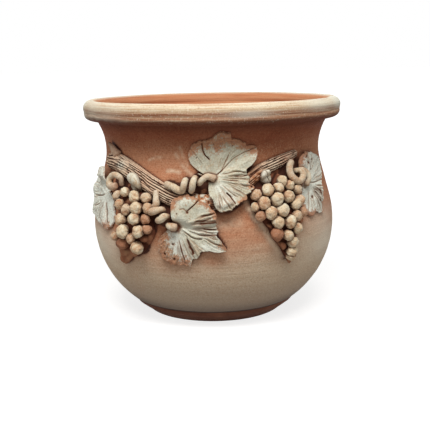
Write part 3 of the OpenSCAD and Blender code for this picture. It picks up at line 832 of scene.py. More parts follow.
class Cover:
    """How high the laid pieces stand off the wall, on a chart of millimetre squares"""

    # Across and up of the chart's first square, and its numbers of squares
    LEFT, FOOT, WIDE, HIGH = -270, -150, 540, 260

    def __init__(self, pieces):
        self.top = np.zeros((self.WIDE, self.HIGH))
        for points in pieces:
            across, up, raised = off_wall(points)
            i = np.clip(np.round(across - self.LEFT).astype(int), 1, self.WIDE - 2)
            j = np.clip(np.round(up - self.FOOT).astype(int), 1, self.HIGH - 2)
            np.maximum.at(self.top, (i, j), raised)
        # Squares that no point falls in take their neighbours' height
        filled = self.top.copy()
        for di in (-1, 0, 1):
            for dj in (-1, 0, 1):
                filled = np.maximum(filled, np.roll(self.top, (di, dj), (0, 1)) - 0.6)
        self.top = filled
        self.levelled = {}

    def level(self, size):
        """The chart with everything smaller than this size smoothed away"""
        if size not in self.levelled:
            x = np.arange(-int(3 * size) - 1, int(3 * size) + 2)
            weights = np.exp(-(x / size) ** 2 / 2)
            weights /= weights.sum()
            chart = self.top
            for axis in (0, 1):
                chart = np.apply_along_axis(np.convolve, axis, chart, weights, "same")
            self.levelled[size] = chart
        return self.levelled[size]

    def hollow(self, points, size):
        """How far points lie below the pieces around them"""
        across, up, raised = off_wall(points)
        chart = self.level(size)
        x = np.clip(across - self.LEFT, 0, self.WIDE - 2)
        y = np.clip(up - self.FOOT, 0, self.HIGH - 2)
        i, j = x.astype(int), y.astype(int)
        s, t = x - i, y - j
        around = ((1 - s) * (1 - t) * chart[i, j] + s * (1 - t) * chart[i + 1, j]
                  + (1 - s) * t * chart[i, j + 1] + s * t * chart[i + 1, j + 1])
        return around - raised


def stain_and_shade_hollows(obj, cover, share):
    """Adds brown and painted shade to a piece's creases where it lies low among its neighbours"""
    mesh = obj.data
    p = points_of(mesh)
    crease = values_of(mesh, "crease")
    low = np.maximum(ease(1.0, 8.0, cover.hollow(p, 4)), 0.7 * ease(0.8, 4.0, cover.hollow(p, 2)))
    torn = values_of(mesh, "torn")
    set_values(mesh, crease=np.maximum(crease, low * share * (1 - 0.75 * torn)))


# ---- the vine ----

# The vine's thickness and width, the depth of its scored lines and their number
VINE_T, VINE_W, VINE_GROOVE, VINE_LINES = 12.0, 27.0, 2.9, 11

# Across and up of the vine's crest, with its shares of the full width and thickness there
VINE_MARKS = [
    (-199, 45, 0.90, 0.90), (-174, 44, 1.00, 1.00), (-148, 38, 1.00, 1.00),
    (-116, 27, 0.96, 0.95), (-87, 14, 0.93, 0.85), (-58, 2, 0.88, 0.70),
    (-10, -4, 0.85, 0.60), (26, 6, 0.80, 0.60), (55, 26, 0.77, 0.70),
    (76, 37, 0.73, 0.75), (106, 46, 0.68, 0.70), (144, 56, 0.42, 0.50)]
VINE_LEFT, VINE_RIGHT = VINE_MARKS[0][0], VINE_MARKS[-1][0]

# A leaf stays level this far past the vine and comes down over as much again
LEAF_CLEAR = 12.0


def vine_at(x):
    """The vine's crest, half width, thickness and slant above places"""
    m = along(VINE_MARKS, x)
    slant = np.arctan(along(VINE_MARKS, np.asarray(x) + 1)[:, 1] - m[:, 1])
    return m[:, 1], m[:, 2] * VINE_W / 2, m[:, 3] * VINE_T, slant


def vine_off(across, up):
    """Distance from the vine's crest, its half width and thickness, and distance past its ends"""
    x = np.clip(across, VINE_LEFT, VINE_RIGHT)
    crest, half, high, slant = (v.reshape(x.shape) for v in vine_at(x.ravel()))
    return np.abs(up - crest) * np.cos(slant), half, high, np.abs(across - x)


def carried(across, up):
    """How high a leaf is carried over the vine: level across it, then down to the wall"""
    across, up = np.asarray(across, float), np.asarray(up, float)
    off, half, high, past = vine_off(across, up)
    drop = np.clip((np.maximum(off - half, past) - LEAF_CLEAR) / LEAF_CLEAR, 0, 1)
    return high * (1 - drop * drop * (3 - 2 * drop))


def resting(across, up, half_t):
    """Height of the middle of a rope or strap that rests on the wall or on the vine"""
    across, up = np.asarray(across, float), np.asarray(up, float)
    off, half, high, past = vine_off(across, up)
    off = np.maximum(off, past * 2)
    reach = half + half_t + SLIP
    lift = high + half_t + SLIP
    over = lift * np.sqrt(np.clip(1 - (off / reach) ** 2, 0, 1))
    return np.maximum(half_t + SLIP, over)


def make_vine(material):
    rows, columns, base_columns = 420, 64, 8
    x = np.linspace(VINE_LEFT, VINE_RIGHT, rows)
    crest, half, high, slant = (numbers[:, None] for numbers in vine_at(x))
    X, V = np.meshgrid(x, np.linspace(-1, 1, columns), indexing="ij")
    track = (V * (1 + 0.05 * np.sin(X / 31)) + rough(flat(X, V * 9), (46, 12, 1), 51, 2) * 0.11
             + rough(flat(X, V * 9), (16, 5, 1), 57, 2) * 0.03)

    # Bark is torn off below the upper leaf's stalk and a little at the right
    torn = np.maximum(ease(17, 9, np.abs(X + 14)),
                      0.6 * ease(10, 4, np.abs(X - 64)) * ease(0.2, -0.2, V))
    lines = VINE_LINES * (1 - 0.35 * ease(-60, 120, X) - 0.25 * ease(-140, -175, X))
    line = track * lines / 2 + 0.25 * lumps(flat(X, V * 9), (60, 3.5, 1), 53)
    depth = ((1 + np.cos(2 * math.pi * line)) / 2) ** 2.2
    unbroken = ease(-0.85, -0.25, lumps(flat(X, np.round(line) * 40), (24, 9, 1), 61))
    split = np.abs(lumps(flat(X, track * 60), (30, 3.4, 1), 71))
    depth = np.maximum(depth * unbroken, 0.9 * ease(0.14, 0.0, split)) * (1 - torn)
    depth = depth * (1 - 0.7 * ease(0.45, 0.75, V) * ease(-30, -60, X))
    scratch = np.abs(lumps(flat(X, track * 60), (15, 1.9, 1), 73)) ** 0.7 * 0.25
    crumbs = rough(flat(X, V * 12), (3.4, 3.4, 1), 83, 3)
    ragged = (rough(flat(X, V * 12), (7, 4, 1), 77, 3) * (0.4 + 1.9 * torn)
              + 2.4 * crumbs * torn)
    groove = depth * VINE_GROOVE + scratch

    girth = 1 + 0.05 * lumps(flat(X, 0 * X), (22, 9, 1), 81)
    profile = np.cos(V * math.pi / 2) ** 0.8
    raised = SLIP + np.maximum(high * girth * profile
                               - groove * ease(0.0, 0.35, 1 - np.abs(V)) + ragged * profile, 0.6)
    side = half * np.sin(V * math.pi / 2) * girth
    across, up = x[:, None] - side * np.sin(slant), crest + side * np.cos(slant)
    under = half * np.linspace(1, -1, base_columns + 2)[1:-1]
    base = on_wall(x[:, None] - under * np.sin(slant), crest + under * np.cos(slant), SLIP)
    rings = np.concatenate([on_wall(across, up, raised), base], 1)
    mesh = closed_mesh("front_bark", rings, rings[0].mean(0), rings[-1].mean(0))

    def stored(values, at_ends=0.0):
        return face_values(np.clip(values, 0, 1), base, 0.0, at_ends, at_ends, axis=1)

    bare = (ease(0.35, 0.8, rough(flat(X, V * 12), (26, 8, 1), 91)) * 0.35
            + torn * ease(0.30, 0.0, crumbs) + 0.7 * bell(X - 58, 17))
    daub = np.exp(-(((across + 153) / 9) ** 2 + ((up - 41) / 6) ** 2))
    daub = np.maximum(daub, 0.8 * torn * ease(-0.05, 0.30, crumbs))
    # Darker in the grooves and the torn patch's pits, with painted shade
    dark = np.clip(groove / 2.0, 0, 1) + torn * ease(-0.15, -0.5, crumbs)
    set_values(mesh, crease=stored(dark, 0.8), bare=stored(bare, 0.4), daub=stored(daub),
               torn=stored(torn))
    return add_piece("front_branch", mesh, material)


# ---- the leaves ----

# A leaf's thickness, and how far its edge curls off the wall at most
LEAF_T, LEAF_CURL = 5.0, 7.0

# For each leaf: its stalk's place on the wall and the direction in degrees and share of its
# curl, then what is drawn on it as places from the stalk. Ridges, grooves and cracks are lines
# with a height or depth and a width. Holes are places with a size. Bare patches are lines with
# a width. Chalk is paler slip along lines with a width and a strength, on top of the leaf's even
# pale coat, which on the side leaves is painted light. Strokes are zones of scratches: from and
# to direction in degrees, number and depth. The lip is a line where the leaf stands off the wall,
# with a height and a width.
UPPER_LEAF = dict(
    at=(0, 27), curl_dir=-60, curl=1.0, frost=0.0,
    outline=[(-7, 1), (-10, 5), (-16, 4), (-25, 9), (-34, 22), (-37, 35), (-36, 41), (-27, 51),
             (-21, 56), (-17, 54), (-15, 51), (-12, 56), (-5, 57), (2, 60), (6, 64), (9, 67),
             (17, 68), (25, 67), (27, 62), (29, 57), (35, 57), (42, 55), (50, 52), (53, 46),
             (60, 47), (68, 43), (66, 32), (61, 24), (55, 17), (48, 12), (48, 5), (52, -1), (50, -8),
             (53, -11), (59, -13), (51, -18), (46, -23), (45, -26), (43, -30), (37, -33),
             (31, -37), (26, -41), (20, -44), (12, -45), (5, -43), (1, -37), (0, -29),
             (-4, -25), (-6, -18), (-6, -8)],
    ridges=[([(9, 6), (18, 11), (31, 12), (48, 8)], 2.2, 1.7),
            ([(10, 2), (22, 4), (30, 5)], 1.2, 1.4),
            ([(26, 5), (36, 6), (46, 8)], 1.5, 1.5),
            ([(9, -2), (21, -5), (34, -8), (50, -10)], 1.2, 1.8),
            ([(7, -6), (17, -14), (30, -20), (45, -24)], 1.3, 1.9),
            ([(4, -9), (10, -20), (14, -30)], 1.2, 2.2),
            ([(2, 9), (10, 22), (16, 40), (20, 60)], 0.8, 2.4),
            ([(-6, 10), (-14, 24), (-26, 42)], 0.7, 2.6)],
    grooves=[([(13, 6), (22, 7), (31, 9), (38, 8), (44, 6)], 1.8, 0.9),
             ([(3, 4), (14, 12), (23, 21), (32, 29), (46, 36), (67, 43)], 1.0, 0.8),
             ([(4, 5), (12, 10), (19, 24), (24, 34)], 0.7, 0.8),
             ([(30, 2), (39, 1), (49, 3)], 1.8, 0.9),
             ([(12, -1), (21, -3), (33, -4)], 0.9, 0.8)],
    cracks=[([(-15, 51), (-14, 42), (-11, 34), (-5, 28)], 3.4, 0.9),
            ([(18, -20), (23, -25), (28, -34)], 3.0, 1.0)],
    holes=[(52, -13, 1.5), (47, -25, 1.4), (30, 47, 0.9), (2, 50, 0.8), (-24, 30, 0.8)],
    bare=[([(-36, 38), (-27, 45), (-20, 50), (-9, 48), (-4, 55), (5, 49), (14, 59), (32, 55),
            (46, 50), (62, 41)], 9.0),
          ([(14, 62), (7, 44)], 8.0), ([(36, -33), (44, -28)], 4.5),
          ([(-17, 54), (-7, 59), (7, 68), (18, 71), (25, 62), (41, 56), (53, 45), (68, 43)], 5.0),
          ([(50, -12), (58, -13)], 5.0)],
    chalk=[([(8, -12), (22, -26), (10, -32)], 8.0, 0.8)],
    strokes=[(-85, 8, 26, 0.75), (20, 75, 11, 0.35), (100, 165, 9, 0.25)],
    lip=[([(0, -28), (6, -35), (13, -37), (22, -33)], 5.5, 4.5)])

LOWER_LEAF = dict(
    at=(-48, -37), curl_dir=10, curl=0.8, frost=0.0,
    outline=[(-6, 3), (-5, 7), (-8, 15), (-9, 23), (-9, 29), (-8, 34), (-2, 39), (6, 43),
             (14, 44), (21, 41), (28, 36), (35, 34), (44, 27), (49, 20), (52, 14), (51, 9),
             (51, 3), (54, -4), (52, -12), (58, -19), (64, -27), (68, -32), (60, -34), (51, -34),
             (43, -31), (35, -32), (31, -32), (29, -37), (25, -42), (20, -44), (18, -50),
             (15, -56), (9, -53), (3, -56), (-3, -55), (-13, -53), (-21, -47), (-27, -40),
             (-30, -32), (-31, -25), (-28, -18), (-22, -10), (-13, -3), (-7, -1)],
    ridges=[([(5, -1), (11, -4), (18, -9), (24, -12), (31, -13)], 2.2, 1.3),
            ([(7, -3), (13, -10), (18, -18), (24, -30), (27, -38)], 1.7, 1.4),
            ([(10, -11), (12, -20), (16, -31), (20, -38)], 1.3, 1.2),
            ([(11, 4), (27, 10), (50, 14)], 1.6, 1.6), ([(11, 2), (31, 3), (52, 8)], 1.6, 1.3),
            ([(13, 0), (35, -3), (52, 0)], 1.2, 1.2), ([(11, -2), (27, -7), (52, -5)], 1.2, 1.3),
            ([(1, -10), (2, -24), (6, -45)], 0.9, 1.8),
            ([(-2, -8), (-6, -22), (-5, -46)], 0.8, 2.0),
            ([(3, 9), (6, 20), (16, 31), (30, 26)], 1.2, 4.5),
            ([(2, 31), (12, 32), (20, 36)], 1.8, 5.0)],
    grooves=[([(8, -5), (18, -12), (25, -15), (31, -15)], 2.0, 0.8),
             ([(30, 5), (41, 6), (52, 6)], 1.2, 0.9), ([(34, -2), (51, -3)], 1.1, 0.8),
             ([(24, 8), (34, 9), (44, 11)], 1.0, 0.9),
             ([(27, -10), (40, -10), (52, -10)], 0.8, 0.8),
             ([(13, -15), (16, -24), (21, -35)], 1.9, 1.0),
             ([(2, -16), (5, -34), (9, -45)], 0.9, 0.8),
             ([(14, 20), (9, 24), (4, 23)], 0.9, 1.0)],
    cracks=[([(29, 36), (24, 30), (15, 22)], 2.4, 0.8),
            ([(16, -26), (19, -31), (20, -36)], 1.8, 0.9)],
    holes=[(14, 19, 1.7), (-7, -23, 1.5), (-6, -44, 1.8), (-19, -38, 1.5), (0, 17, 0.9)],
    bare=[([(-20, -14), (-24, -26), (-21, -40), (-8, -48), (6, -50)], 11.5),
          ([(59, -24), (64, -27)], 6.0), ([(22, 43), (35, 34), (46, 27), (51, 16)], 7.0),
          ([(-8, 24), (-3, 36), (8, 42), (20, 41)], 4.5)],
    chalk=[([(-6, -10), (-2, -26), (6, -42)], 11.0, 1.0), ([(36, -26), (54, -28)], 6.0, 0.7),
           ([(2, 30), (12, 34)], 5.0, 0.4), ([(10, 0), (30, -4), (50, -6)], 9.0, 0.6)],
    strokes=[(-28, 24, 21, 0.75), (-120, -40, 24, 0.7), (-160, -120, 7, 0.35)],
    lip=[])

LEFT_LEAF = dict(
    at=(-188, -3), curl_dir=180, curl=0.7, frost=1.0,
    outline=[(4, 6), (2, 14), (-2, 26), (-9, 35), (-19, 37), (-30, 34), (-44, 26), (-54, 13),
             (-52, 2), (-54, -8), (-50, -16), (-46, -22), (-48, -33), (-36, -38), (-26, -42),
             (-12, -46), (0, -49), (12, -52), (22, -46), (28, -40), (30, -30), (26, -18),
             (22, -8), (14, 0), (8, 3)],
    ridges=[([(-6, 6), (-18, 16), (-30, 26)], 1.0, 2.2), ([(-8, 2), (-26, 4), (-46, 4)], 1.3, 2.0),
            ([(-4, -8), (-16, -20), (-34, -30)], 1.1, 2.0),
            ([(0, -10), (4, -28), (6, -44)], 1.6, 3.4)],
    grooves=[([(-4, -2), (-20, -6), (-44, -9)], 1.8, 1.0),
             ([(-8, -10), (-22, -18), (-38, -24)], 1.4, 0.9),
             ([(-3, -12), (-10, -28), (-16, -40)], 1.2, 0.9)],
    cracks=[([(6, -14), (12, -26), (15, -40)], 3.0, 1.0)],
    holes=[(-20, -14, 1.6), (-26, 16, 0.9)],
    bare=[([(2, -46), (16, -46)], 7.0)],
    chalk=[],
    strokes=[(95, 180, 16, 0.6), (185, 300, 20, 0.6)],
    lip=[([(-56, 5), (-52, -2)], 3.0, 8.0)])

RIGHT_LEAF = dict(
    at=(160, 10), curl_dir=20, curl=0.5, frost=0.9,
    outline=[(-8, 4), (-14, 12), (-17, 24), (-15, 35), (-7, 43), (8, 46), (18, 46), (26, 43),
             (36, 40), (48, 36), (56, 28), (55, 18), (51, 10), (46, 3), (38, -3), (36, -11),
             (38, -20), (36, -28), (30, -32), (27, -35), (31, -42), (27, -46), (18, -46),
             (11, -43), (4, -42), (-2, -46), (-11, -45), (-18, -40), (-24, -30), (-22, -18),
             (-14, -8)],
    ridges=[([(4, 8), (12, 22), (18, 38)], 1.2, 3.0), ([(8, 4), (28, 14), (46, 24)], 1.3, 2.0),
            ([(8, -4), (26, -12), (34, -20)], 1.1, 2.0),
            ([(0, -10), (6, -26), (12, -38)], 1.6, 3.4)],
    grooves=[([(10, 12), (18, 24), (26, 34)], 1.2, 0.9), ([(6, -1), (24, -1), (42, 0)], 1.8, 1.0),
             ([(10, -8), (20, -20), (28, -36)], 1.2, 0.9),
             ([(-3, -10), (-8, -24), (-12, -38)], 1.1, 0.9)],
    cracks=[([(28, -14), (30, -20), (32, -26)], 2.4, 1.0),
            ([(12, 30), (15, 22), (16, 18)], 1.8, 0.8)],
    holes=[(2, -20, 1.9), (29, -14, 1.8), (10, 38, 1.5), (22, 33, 1.5), (36, 30, 0.8)],
    bare=[([(-22, -30), (-14, -44), (2, -42)], 5.0), ([(-15, 30), (-8, 41), (8, 45)], 8.0),
          ([(34, -32), (28, -44)], 4.0), ([(-12, 8), (-14, 24)], 7.0)],
    chalk=[],
    strokes=[(-75, -10, 22, 0.75), (0, 80, 20, 0.6), (-120, -80, 8, 0.5)],
    lip=[])


# The name of each leaf's piece and of its node, the leaf, its seed and its share of the brown and
# painted shade in its hollows
LEAVES = [("top_leaf", "upper_leaf", UPPER_LEAF, 101, 1.0),
          ("under_leaf", "lower_leaf", LOWER_LEAF, 131, 1.0),
          ("left_side_leaf", "left_leaf", LEFT_LEAF, 161, 0.35),
          ("right_side_leaf", "right_leaf", RIGHT_LEAF, 191, 0.8)]


def leaf_reach(outline, turn, seed):
    """How far a leaf's edge lies from its stalk in each direction, with small nicks"""
    marks = np.asarray(outline, float)
    angle = np.arctan2(marks[:, 1], marks[:, 0])
    reach = np.interp(turn, angle, np.hypot(marks[:, 0], marks[:, 1]), period=2 * math.pi)
    smooth = np.array([1, 2, 3, 2, 1]) / 9
    reach = np.convolve(np.concatenate([reach[-2:], reach, reach[:2]]), smooth, "valid")
    return reach * (1 + 0.045 * rough(hand_circle(turn), 1.9, seed, 3)) - 0.4


def leaf_relief(leaf, share, turn, reach, place, warp, seed):
    """Heights of what is drawn on a leaf, and how dark it is there: brown with painted shade in the
    scratches, grooves, cracks and holes
    """
    out = share * reach
    height, crease = np.zeros_like(share), np.zeros_like(share)
    hand = np.random.default_rng(seed)
    for start, end, count, depth in leaf["strokes"]:
        for k in range(count):
            at = start + (end - start) * (k + hand.uniform(0.1, 0.9)) / count
            begin, stop = hand.uniform(0.25, 0.65), hand.uniform(0.8, 1.1)
            lean, deep = hand.uniform(-7, 7), depth * hand.uniform(0.5, 1.3)
            line = np.radians(at + lean * (share - 0.5)) + warp * 0.05
            off = (turn - line + math.pi) % (2 * math.pi) - math.pi
            gap = np.abs(out * np.sin(np.clip(off, -1.5, 1.5)))
            drawn = ease(begin - 0.05, begin + 0.15, share) * ease(stop + 0.08, stop - 0.1, share)
            height += deep * drawn * (0.55 * bell(gap - 2.0, 1.1) - 1.2 * bell(gap, 0.75))
            crease += 0.5 * deep * bell(gap, 1.1) * drawn
    for line, tall, width in leaf["ridges"]:
        gap, at = line_gap(place + warp[..., None] * 0.5, line)
        height += tall * bell(gap, width) * ease(0, 0.15, at) * ease(1.3, 0.8, at)
    for line, deep, width in leaf["grooves"]:
        gap, at = line_gap(place + warp[..., None] * 0.5, line)
        dip = bell(gap, width) * ease(-0.1, 0.15, at)
        height -= deep * dip
        crease += 0.7 * dip
    for line, deep, width in leaf["cracks"]:
        dip = near_line(place + warp[..., None] * 0.6, line, width)
        height -= deep * dip
        crease += 1.4 * dip
    for x, y, width in leaf["holes"]:
        dip = bell(np.linalg.norm(place - (x, y), axis=-1), width)
        height -= 2.4 * dip
        crease += 1.2 * dip
    return height, np.clip(crease, 0, 1)


def most(shape, parts):
    """The largest of some layers of numbers, and zero where there are none"""
    return np.maximum.reduce([np.zeros(shape), *parts])


def make_leaf(name, leaf, material, seed):
    steps, rings = 480, 70
    turn = np.linspace(-math.pi, math.pi, steps, endpoint=False)
    reach = leaf_reach(leaf["outline"], turn, seed)
    F, T = rings_out(turn, rings, 0.9)
    q = np.stack([F * reach * np.cos(T), F * reach * np.sin(T)], -1)
    across, up = leaf["at"][0] + q[..., 0], leaf["at"][1] + q[..., 1]
    place = flat(across, up)
    edge = (1 - F) * reach

    # The underside: over the vine, curled and lifted unevenly towards the edge
    faces = np.maximum(0, np.cos(T - math.radians(leaf["curl_dir"]))) ** 2
    under = (SLIP + carried(across, up) + leaf["curl"] * LEAF_CURL * F ** 3 * faces
             + np.maximum(0, lumps(place, (20, 20, 1), seed + 3)) * 2.2 * F ** 2
             + np.maximum(0, lumps(place, (9, 9, 1), seed + 17)) * 1.5 * F ** 4)
    for line, tall, width in leaf["lip"]:
        under = under + tall * near_line(q, line, width)

    bare = most(F.shape, [1.25 * near_line(q, line, width) for line, width in leaf["bare"]])
    # The even pale coat, painted light on the side leaves, under the paler chalk lines
    chalk = np.maximum(leaf["frost"], most(F.shape, [
        strength * near_line(q, line, width) for line, width, strength in leaf["chalk"]]))
    warp = rough(place, (14, 14, 1), seed + 5, 2)
    height, crease = leaf_relief(leaf, F, T, reach, q, warp, seed)
    height += (1.1 * rough(place, (15, 15, 1), seed + 21, 2)
               + 0.40 * rough(place, (4.5, 4.5, 1), seed + 13, 3)
               + 0.65 * bare * rough(place, (3.5, 3.5, 1), seed + 29, 2))
    thick = LEAF_T * (1 - 0.3 * F * F) - 0.4
    rolled = np.sqrt(np.clip(1 - (1 - np.clip(edge / 1.5, 0, 1)) ** 2, 0, 1))
    over = under + np.maximum(thick * 0.3, (thick + height * ease(0, 2.5, edge + 1.0)) * rolled)
    over[-1] = under[-1] + thick[-1] * 0.3

    mesh, below = slab(name, across, up, over, under, leaf["at"], 7)
    bare += 0.5 * ease(1.8, 0.3, edge)
    set_values(mesh, crease=face_values(crease, below, 0.6, 0, 0.6),
               bare=face_values(bare, below, 1, 0, 1),
               frost=face_values(chalk, below, 0, leaf["frost"], 0))
    return add_piece(name, mesh, material)


# ---- ropes ----

# The half thickness of a rope where its mark gives a share of 1
ROPE_R = 4.3

# The ragged end of bark at the vine's left end. Marks are across, up and height of the middle
# off the wall, and a share of the full thickness.
SNAG = [(-172, 55, 4, 1.6), (-180, 60, 5, 1.5), (-188, 66, 5, 1.15), (-196, 71, 5, 0.8)]

# The name of each rope's piece and of its node, its taper, seed and marks
ROPES = [
    ("corkscrew", "upper_petiole", 0.95, 5.0,
     [(-66, 19, 9, 1.15), (-56, 16, 12, 1.2), (-48, 12, 13, 1.2), (-42, 11, 14, 1.1),
      (-39, 15, 19, 1.05), (-38, 20, 19, 1.05), (-38, 25, 11), (-37, 21, 5, 0.8),
      (-33, 14, 7, 0.8), (-29, 11, 13), (-27, 15, 19, 1.05), (-26, 21, 20, 1.05),
      (-25, 27, 14), (-24, 28, 7, 0.8), (-22, 24, 6, 0.8), (-20, 21, 10, 0.95),
      (-17, 22, 15), (-14, 25, 17), (-9, 29, 17, 1.05), (-4, 29, 16, 1.1),
      (1, 27, 15, 1.2)]),
    ("looped_stalk", "lower_petiole", 0.95, 6.0,
     [(-81, 8, 9), (-78, -2, 13, 1.05), (-77, -9, 14, 1.15), (-84, -14, 9), (-88, -19, 8),
      (-81, -19, 16, 1.25), (-75, -17, 17, 1.2), (-69, -15, 11, 0.95), (-69, -18, 4, 0.7),
      (-76, -24, 3, 0.7), (-74, -29, 10), (-68, -28, 16, 1.25), (-63, -24, 15, 1.2),
      (-60, -24, 6, 0.7), (-63, -31, 4, 0.7), (-59, -35, 10), (-54, -36, 14, 1.35),
      (-49, -37, 13, 1.35)]),
    ("ring_tendril", "left_tendril", 1.15, 7.0,
     [(-150, 14, 6, 0.9), (-148, 21, 10, 0.95), (-151, 24, 13), (-159, 25, 15),
      (-167, 21, 15, 1.05), (-169, 15, 15, 1.1), (-167, 10, 14, 1.15), (-160, 8, 14, 1.15),
      (-154, 10, 14, 1.05)]),
    ("curled_tendril", "right_tendril", 0.85, 8.0,
     [(124, 44, 10, 1.1), (118, 36, 12, 1.15), (116, 27, 14, 1.2), (119, 20, 15, 1.2),
      (126, 15, 16, 1.15), (133, 17, 17, 1.15), (137, 23, 17, 1.15), (135, 29, 15),
      (131, 30, 9, 0.9), (137, 31, 5, 0.8), (149, 30, 8, 0.9), (155, 23, 11),
      (155, 15, 11), (151, 9, 8, 1.1)])]

# How far past its last mark a rope ends, and its rings there: how far along and how thick
CAP_SHARE = 0.6
CAPS = [(0.97, 0.62), (0.80, 0.86), (0.45, 0.97)]


def make_rope(name, marks, material, taper, seed, dirt_and_shade=0.0):
    points = np.array([on_wall(*m[:3]) for m in marks])
    n = len(points)
    radii = ROPE_R * (1 - (1 - taper) * np.arange(n) / (n - 1))
    radii = radii * np.array([m[3] if len(m) > 3 else 1 for m in marks])
    first, last = points[0] - points[1], points[-1] - points[-2]
    first, last = first / np.linalg.norm(first), last / np.linalg.norm(last)
    head = [points[0] + first * ROPE_R * CAP_SHARE * a for a, _ in CAPS]
    tail = [points[-1] + last * ROPE_R * CAP_SHARE * a for a, _ in reversed(CAPS)]
    points = np.concatenate([head, points, tail])
    radii = np.concatenate([[radii[0] * b for _, b in CAPS], radii,
                            [radii[-1] * b for _, b in reversed(CAPS)]])
    rope = rope_tree().grow(name, line_object(name + "_line", points, radii), material, Seed=seed)
    p = points_of(rope.data)
    rubbed = sum(0.40 * bell(np.linalg.norm(p - end, axis=1), 9.0)
                 for end in (points[0], points[-1]))
    # The rope darkened all over by the given share; the snag is dark brown, with painted shade
    set_values(rope.data, bare=np.clip(rubbed, 0, 1), crease=np.full(len(p), dirt_and_shade),
               tone=0.5 + 0.5 * rough(p, (14, 14, 14), int(seed)))
    return rope


# ---- bunches ----

# For each pad: its middle on the wall, its rim as direction in degrees and reach from there, and
# knobs, which are berries sunk in it: across and up on the wall, height and radius
LEFT_PAD = dict(
    at=(-121, -30),
    rim=[(-180, 30), (-150, 34), (-130, 46), (-120, 50), (-105, 74), (-90, 56), (-70, 52),
         (-50, 46), (-24, 44), (0, 35), (30, 37), (54, 41), (80, 39), (110, 44), (138, 49),
         (150, 36), (180, 30)],
    knobs=[(-92, -17, 7, 6), (-97, -30, 7, 7), (-92, -40, 6, 6), (-97, -54, 5, 7),
           (-102, -65, 4, 6), (-114, -77, 4, 7), (-133, -77, 4, 8), (-128, -87, 3, 6),
           (-138, -90, 3, 7), (-142, -68, 4, 7)])
RIGHT_PAD = dict(
    at=(100, -22),
    rim=[(-180, 42), (-160, 34), (-140, 33), (-120, 39), (-103, 47), (-95, 54), (-87, 65),
         (-80, 79), (-70, 60), (-60, 40), (-40, 32), (-10, 34), (24, 38), (46, 48), (68, 46),
         (88, 53), (108, 40), (126, 46), (144, 55), (164, 51), (180, 42)],
    knobs=[(131, -28, 6, 6), (124, -38, 6, 6), (121, -50, 5, 6), (61, -12, 5, 6),
           (66, -24, 6, 7), (76, -40, 5, 6), (86, -56, 6, 6), (94, -68, 6, 6), (101, -84, 5, 6),
           (127, -14, 7, 6)])

# For each berry: across and up from the pad's middle, height off the wall, radius, brownness
LEFT_BERRIES = [
    (-11, 34, 13, 7.2, 0.1), (-30, 28, 10, 7, 0.6), (9, 28, 14, 8.4, 0.35), (26, 29, 11, 7.4, 0.5),
    (-16, 16, 14, 7.2, 0.5), (17, 14, 18, 8.6, 0.3), (-2, 10, 15, 7.6, 0.6),
    (31, 15, 12, 7.8, 0.6), (-8, -3, 17, 8, 0.4), (15, 0, 18, 8.8, 0.3), (29, 1, 12, 7, 0.9),
    (-2, -17, 18, 9.6, 0.0), (22, -15, 17, 8.4, 0.3), (32, -12, 11, 6.6, 1.0),
    (8, -26, 13, 7.6, 0.7), (-22, -27, 12, 7, 0.6), (-6, -34, 14, 8.2, 1.0),
    (18, -37, 14, 9, 0.1)]
RIGHT_BERRIES = [
    (-25, 30, 14, 9, 0.15), (-7, 31, 12, 8, 0.35), (2, 40, 10, 7.4, 0.1), (12, 33, 12, 7, 0.3),
    (26, 27, 11, 7, 0.5), (-41, 25, 10, 7.6, 0.7), (-15, 16, 18, 9.4, 0.3),
    (4, 18, 17, 8.6, 0.3), (-33, 13, 15, 9.2, 0.5), (-44, 9, 10, 6.6, 0.2), (26, 11, 12, 7.4, 0.6),
    (13, 6, 17, 8, 0.35), (-9, 1, 18, 9, 0.35), (-26, -1, 17, 8.6, 0.4), (-38, -3, 11, 7, 0.8),
    (13, -8, 16, 8, 0.6), (27, -5, 12, 7, 0.8), (0, -14, 18, 8.6, 0.35), (-17, -13, 17, 8.6, 0.3),
    (12, -24, 15, 8, 0.2), (-18, -28, 14, 8.8, 1.0), (-3, -31, 15, 8, 0.35), (5, -41, 14, 8, 0.2),
    (5, -54, 13, 7.8, 0.25), (5, -60, 12, 7, 0.3)]

# Berries with the clay showing, by their place in the list from 0, and how bare each is
LEFT_BARE = [(16, 0.8), (13, 0.35), (10, 0.3)]
RIGHT_BARE = [(20, 0.75), (14, 0.35), (16, 0.2)]

# A pad's thickness at its edge, and how much higher its middle stands
PAD_T, PAD_CROWN = 3.5, 7.0


def make_pad(name, pad, material, seed):
    steps, rings = 260, 64
    direction = np.linspace(-180, 180, steps, endpoint=False)
    turn = np.radians(direction)
    reach = lookup(pad["rim"], direction) * (1 + 0.03 * rough(hand_circle(turn), 5, seed)) - 0.6
    F, T = rings_out(turn, rings)
    across = pad["at"][0] + F * reach * np.cos(T)
    up = pad["at"][1] + F * reach * np.sin(T)
    edge = (1 - F) * reach
    rolled = np.sqrt(np.clip(1 - (1 - np.clip(edge / 4, 0, 1)) ** 2, 0, 1))
    dents = rough(flat(across, up), (11, 11, 1), seed + 3, 3)
    over = SLIP + 0.4 + (PAD_T + PAD_CROWN * (1 - F * F) + dents * 2.2) * (0.1 + 0.9 * rolled)
    for x, y, high, radius in pad["knobs"]:
        ball = radius ** 2 - (across - x) ** 2 - (up - y) ** 2
        over = np.maximum(over, (high + np.sqrt(np.maximum(ball, 0))) * (ball > 0) * (edge > 0.4))
    mesh, _ = slab(name, across, up, over, np.full_like(over, SLIP), pad["at"], 8)
    return add_piece(name, mesh, material)


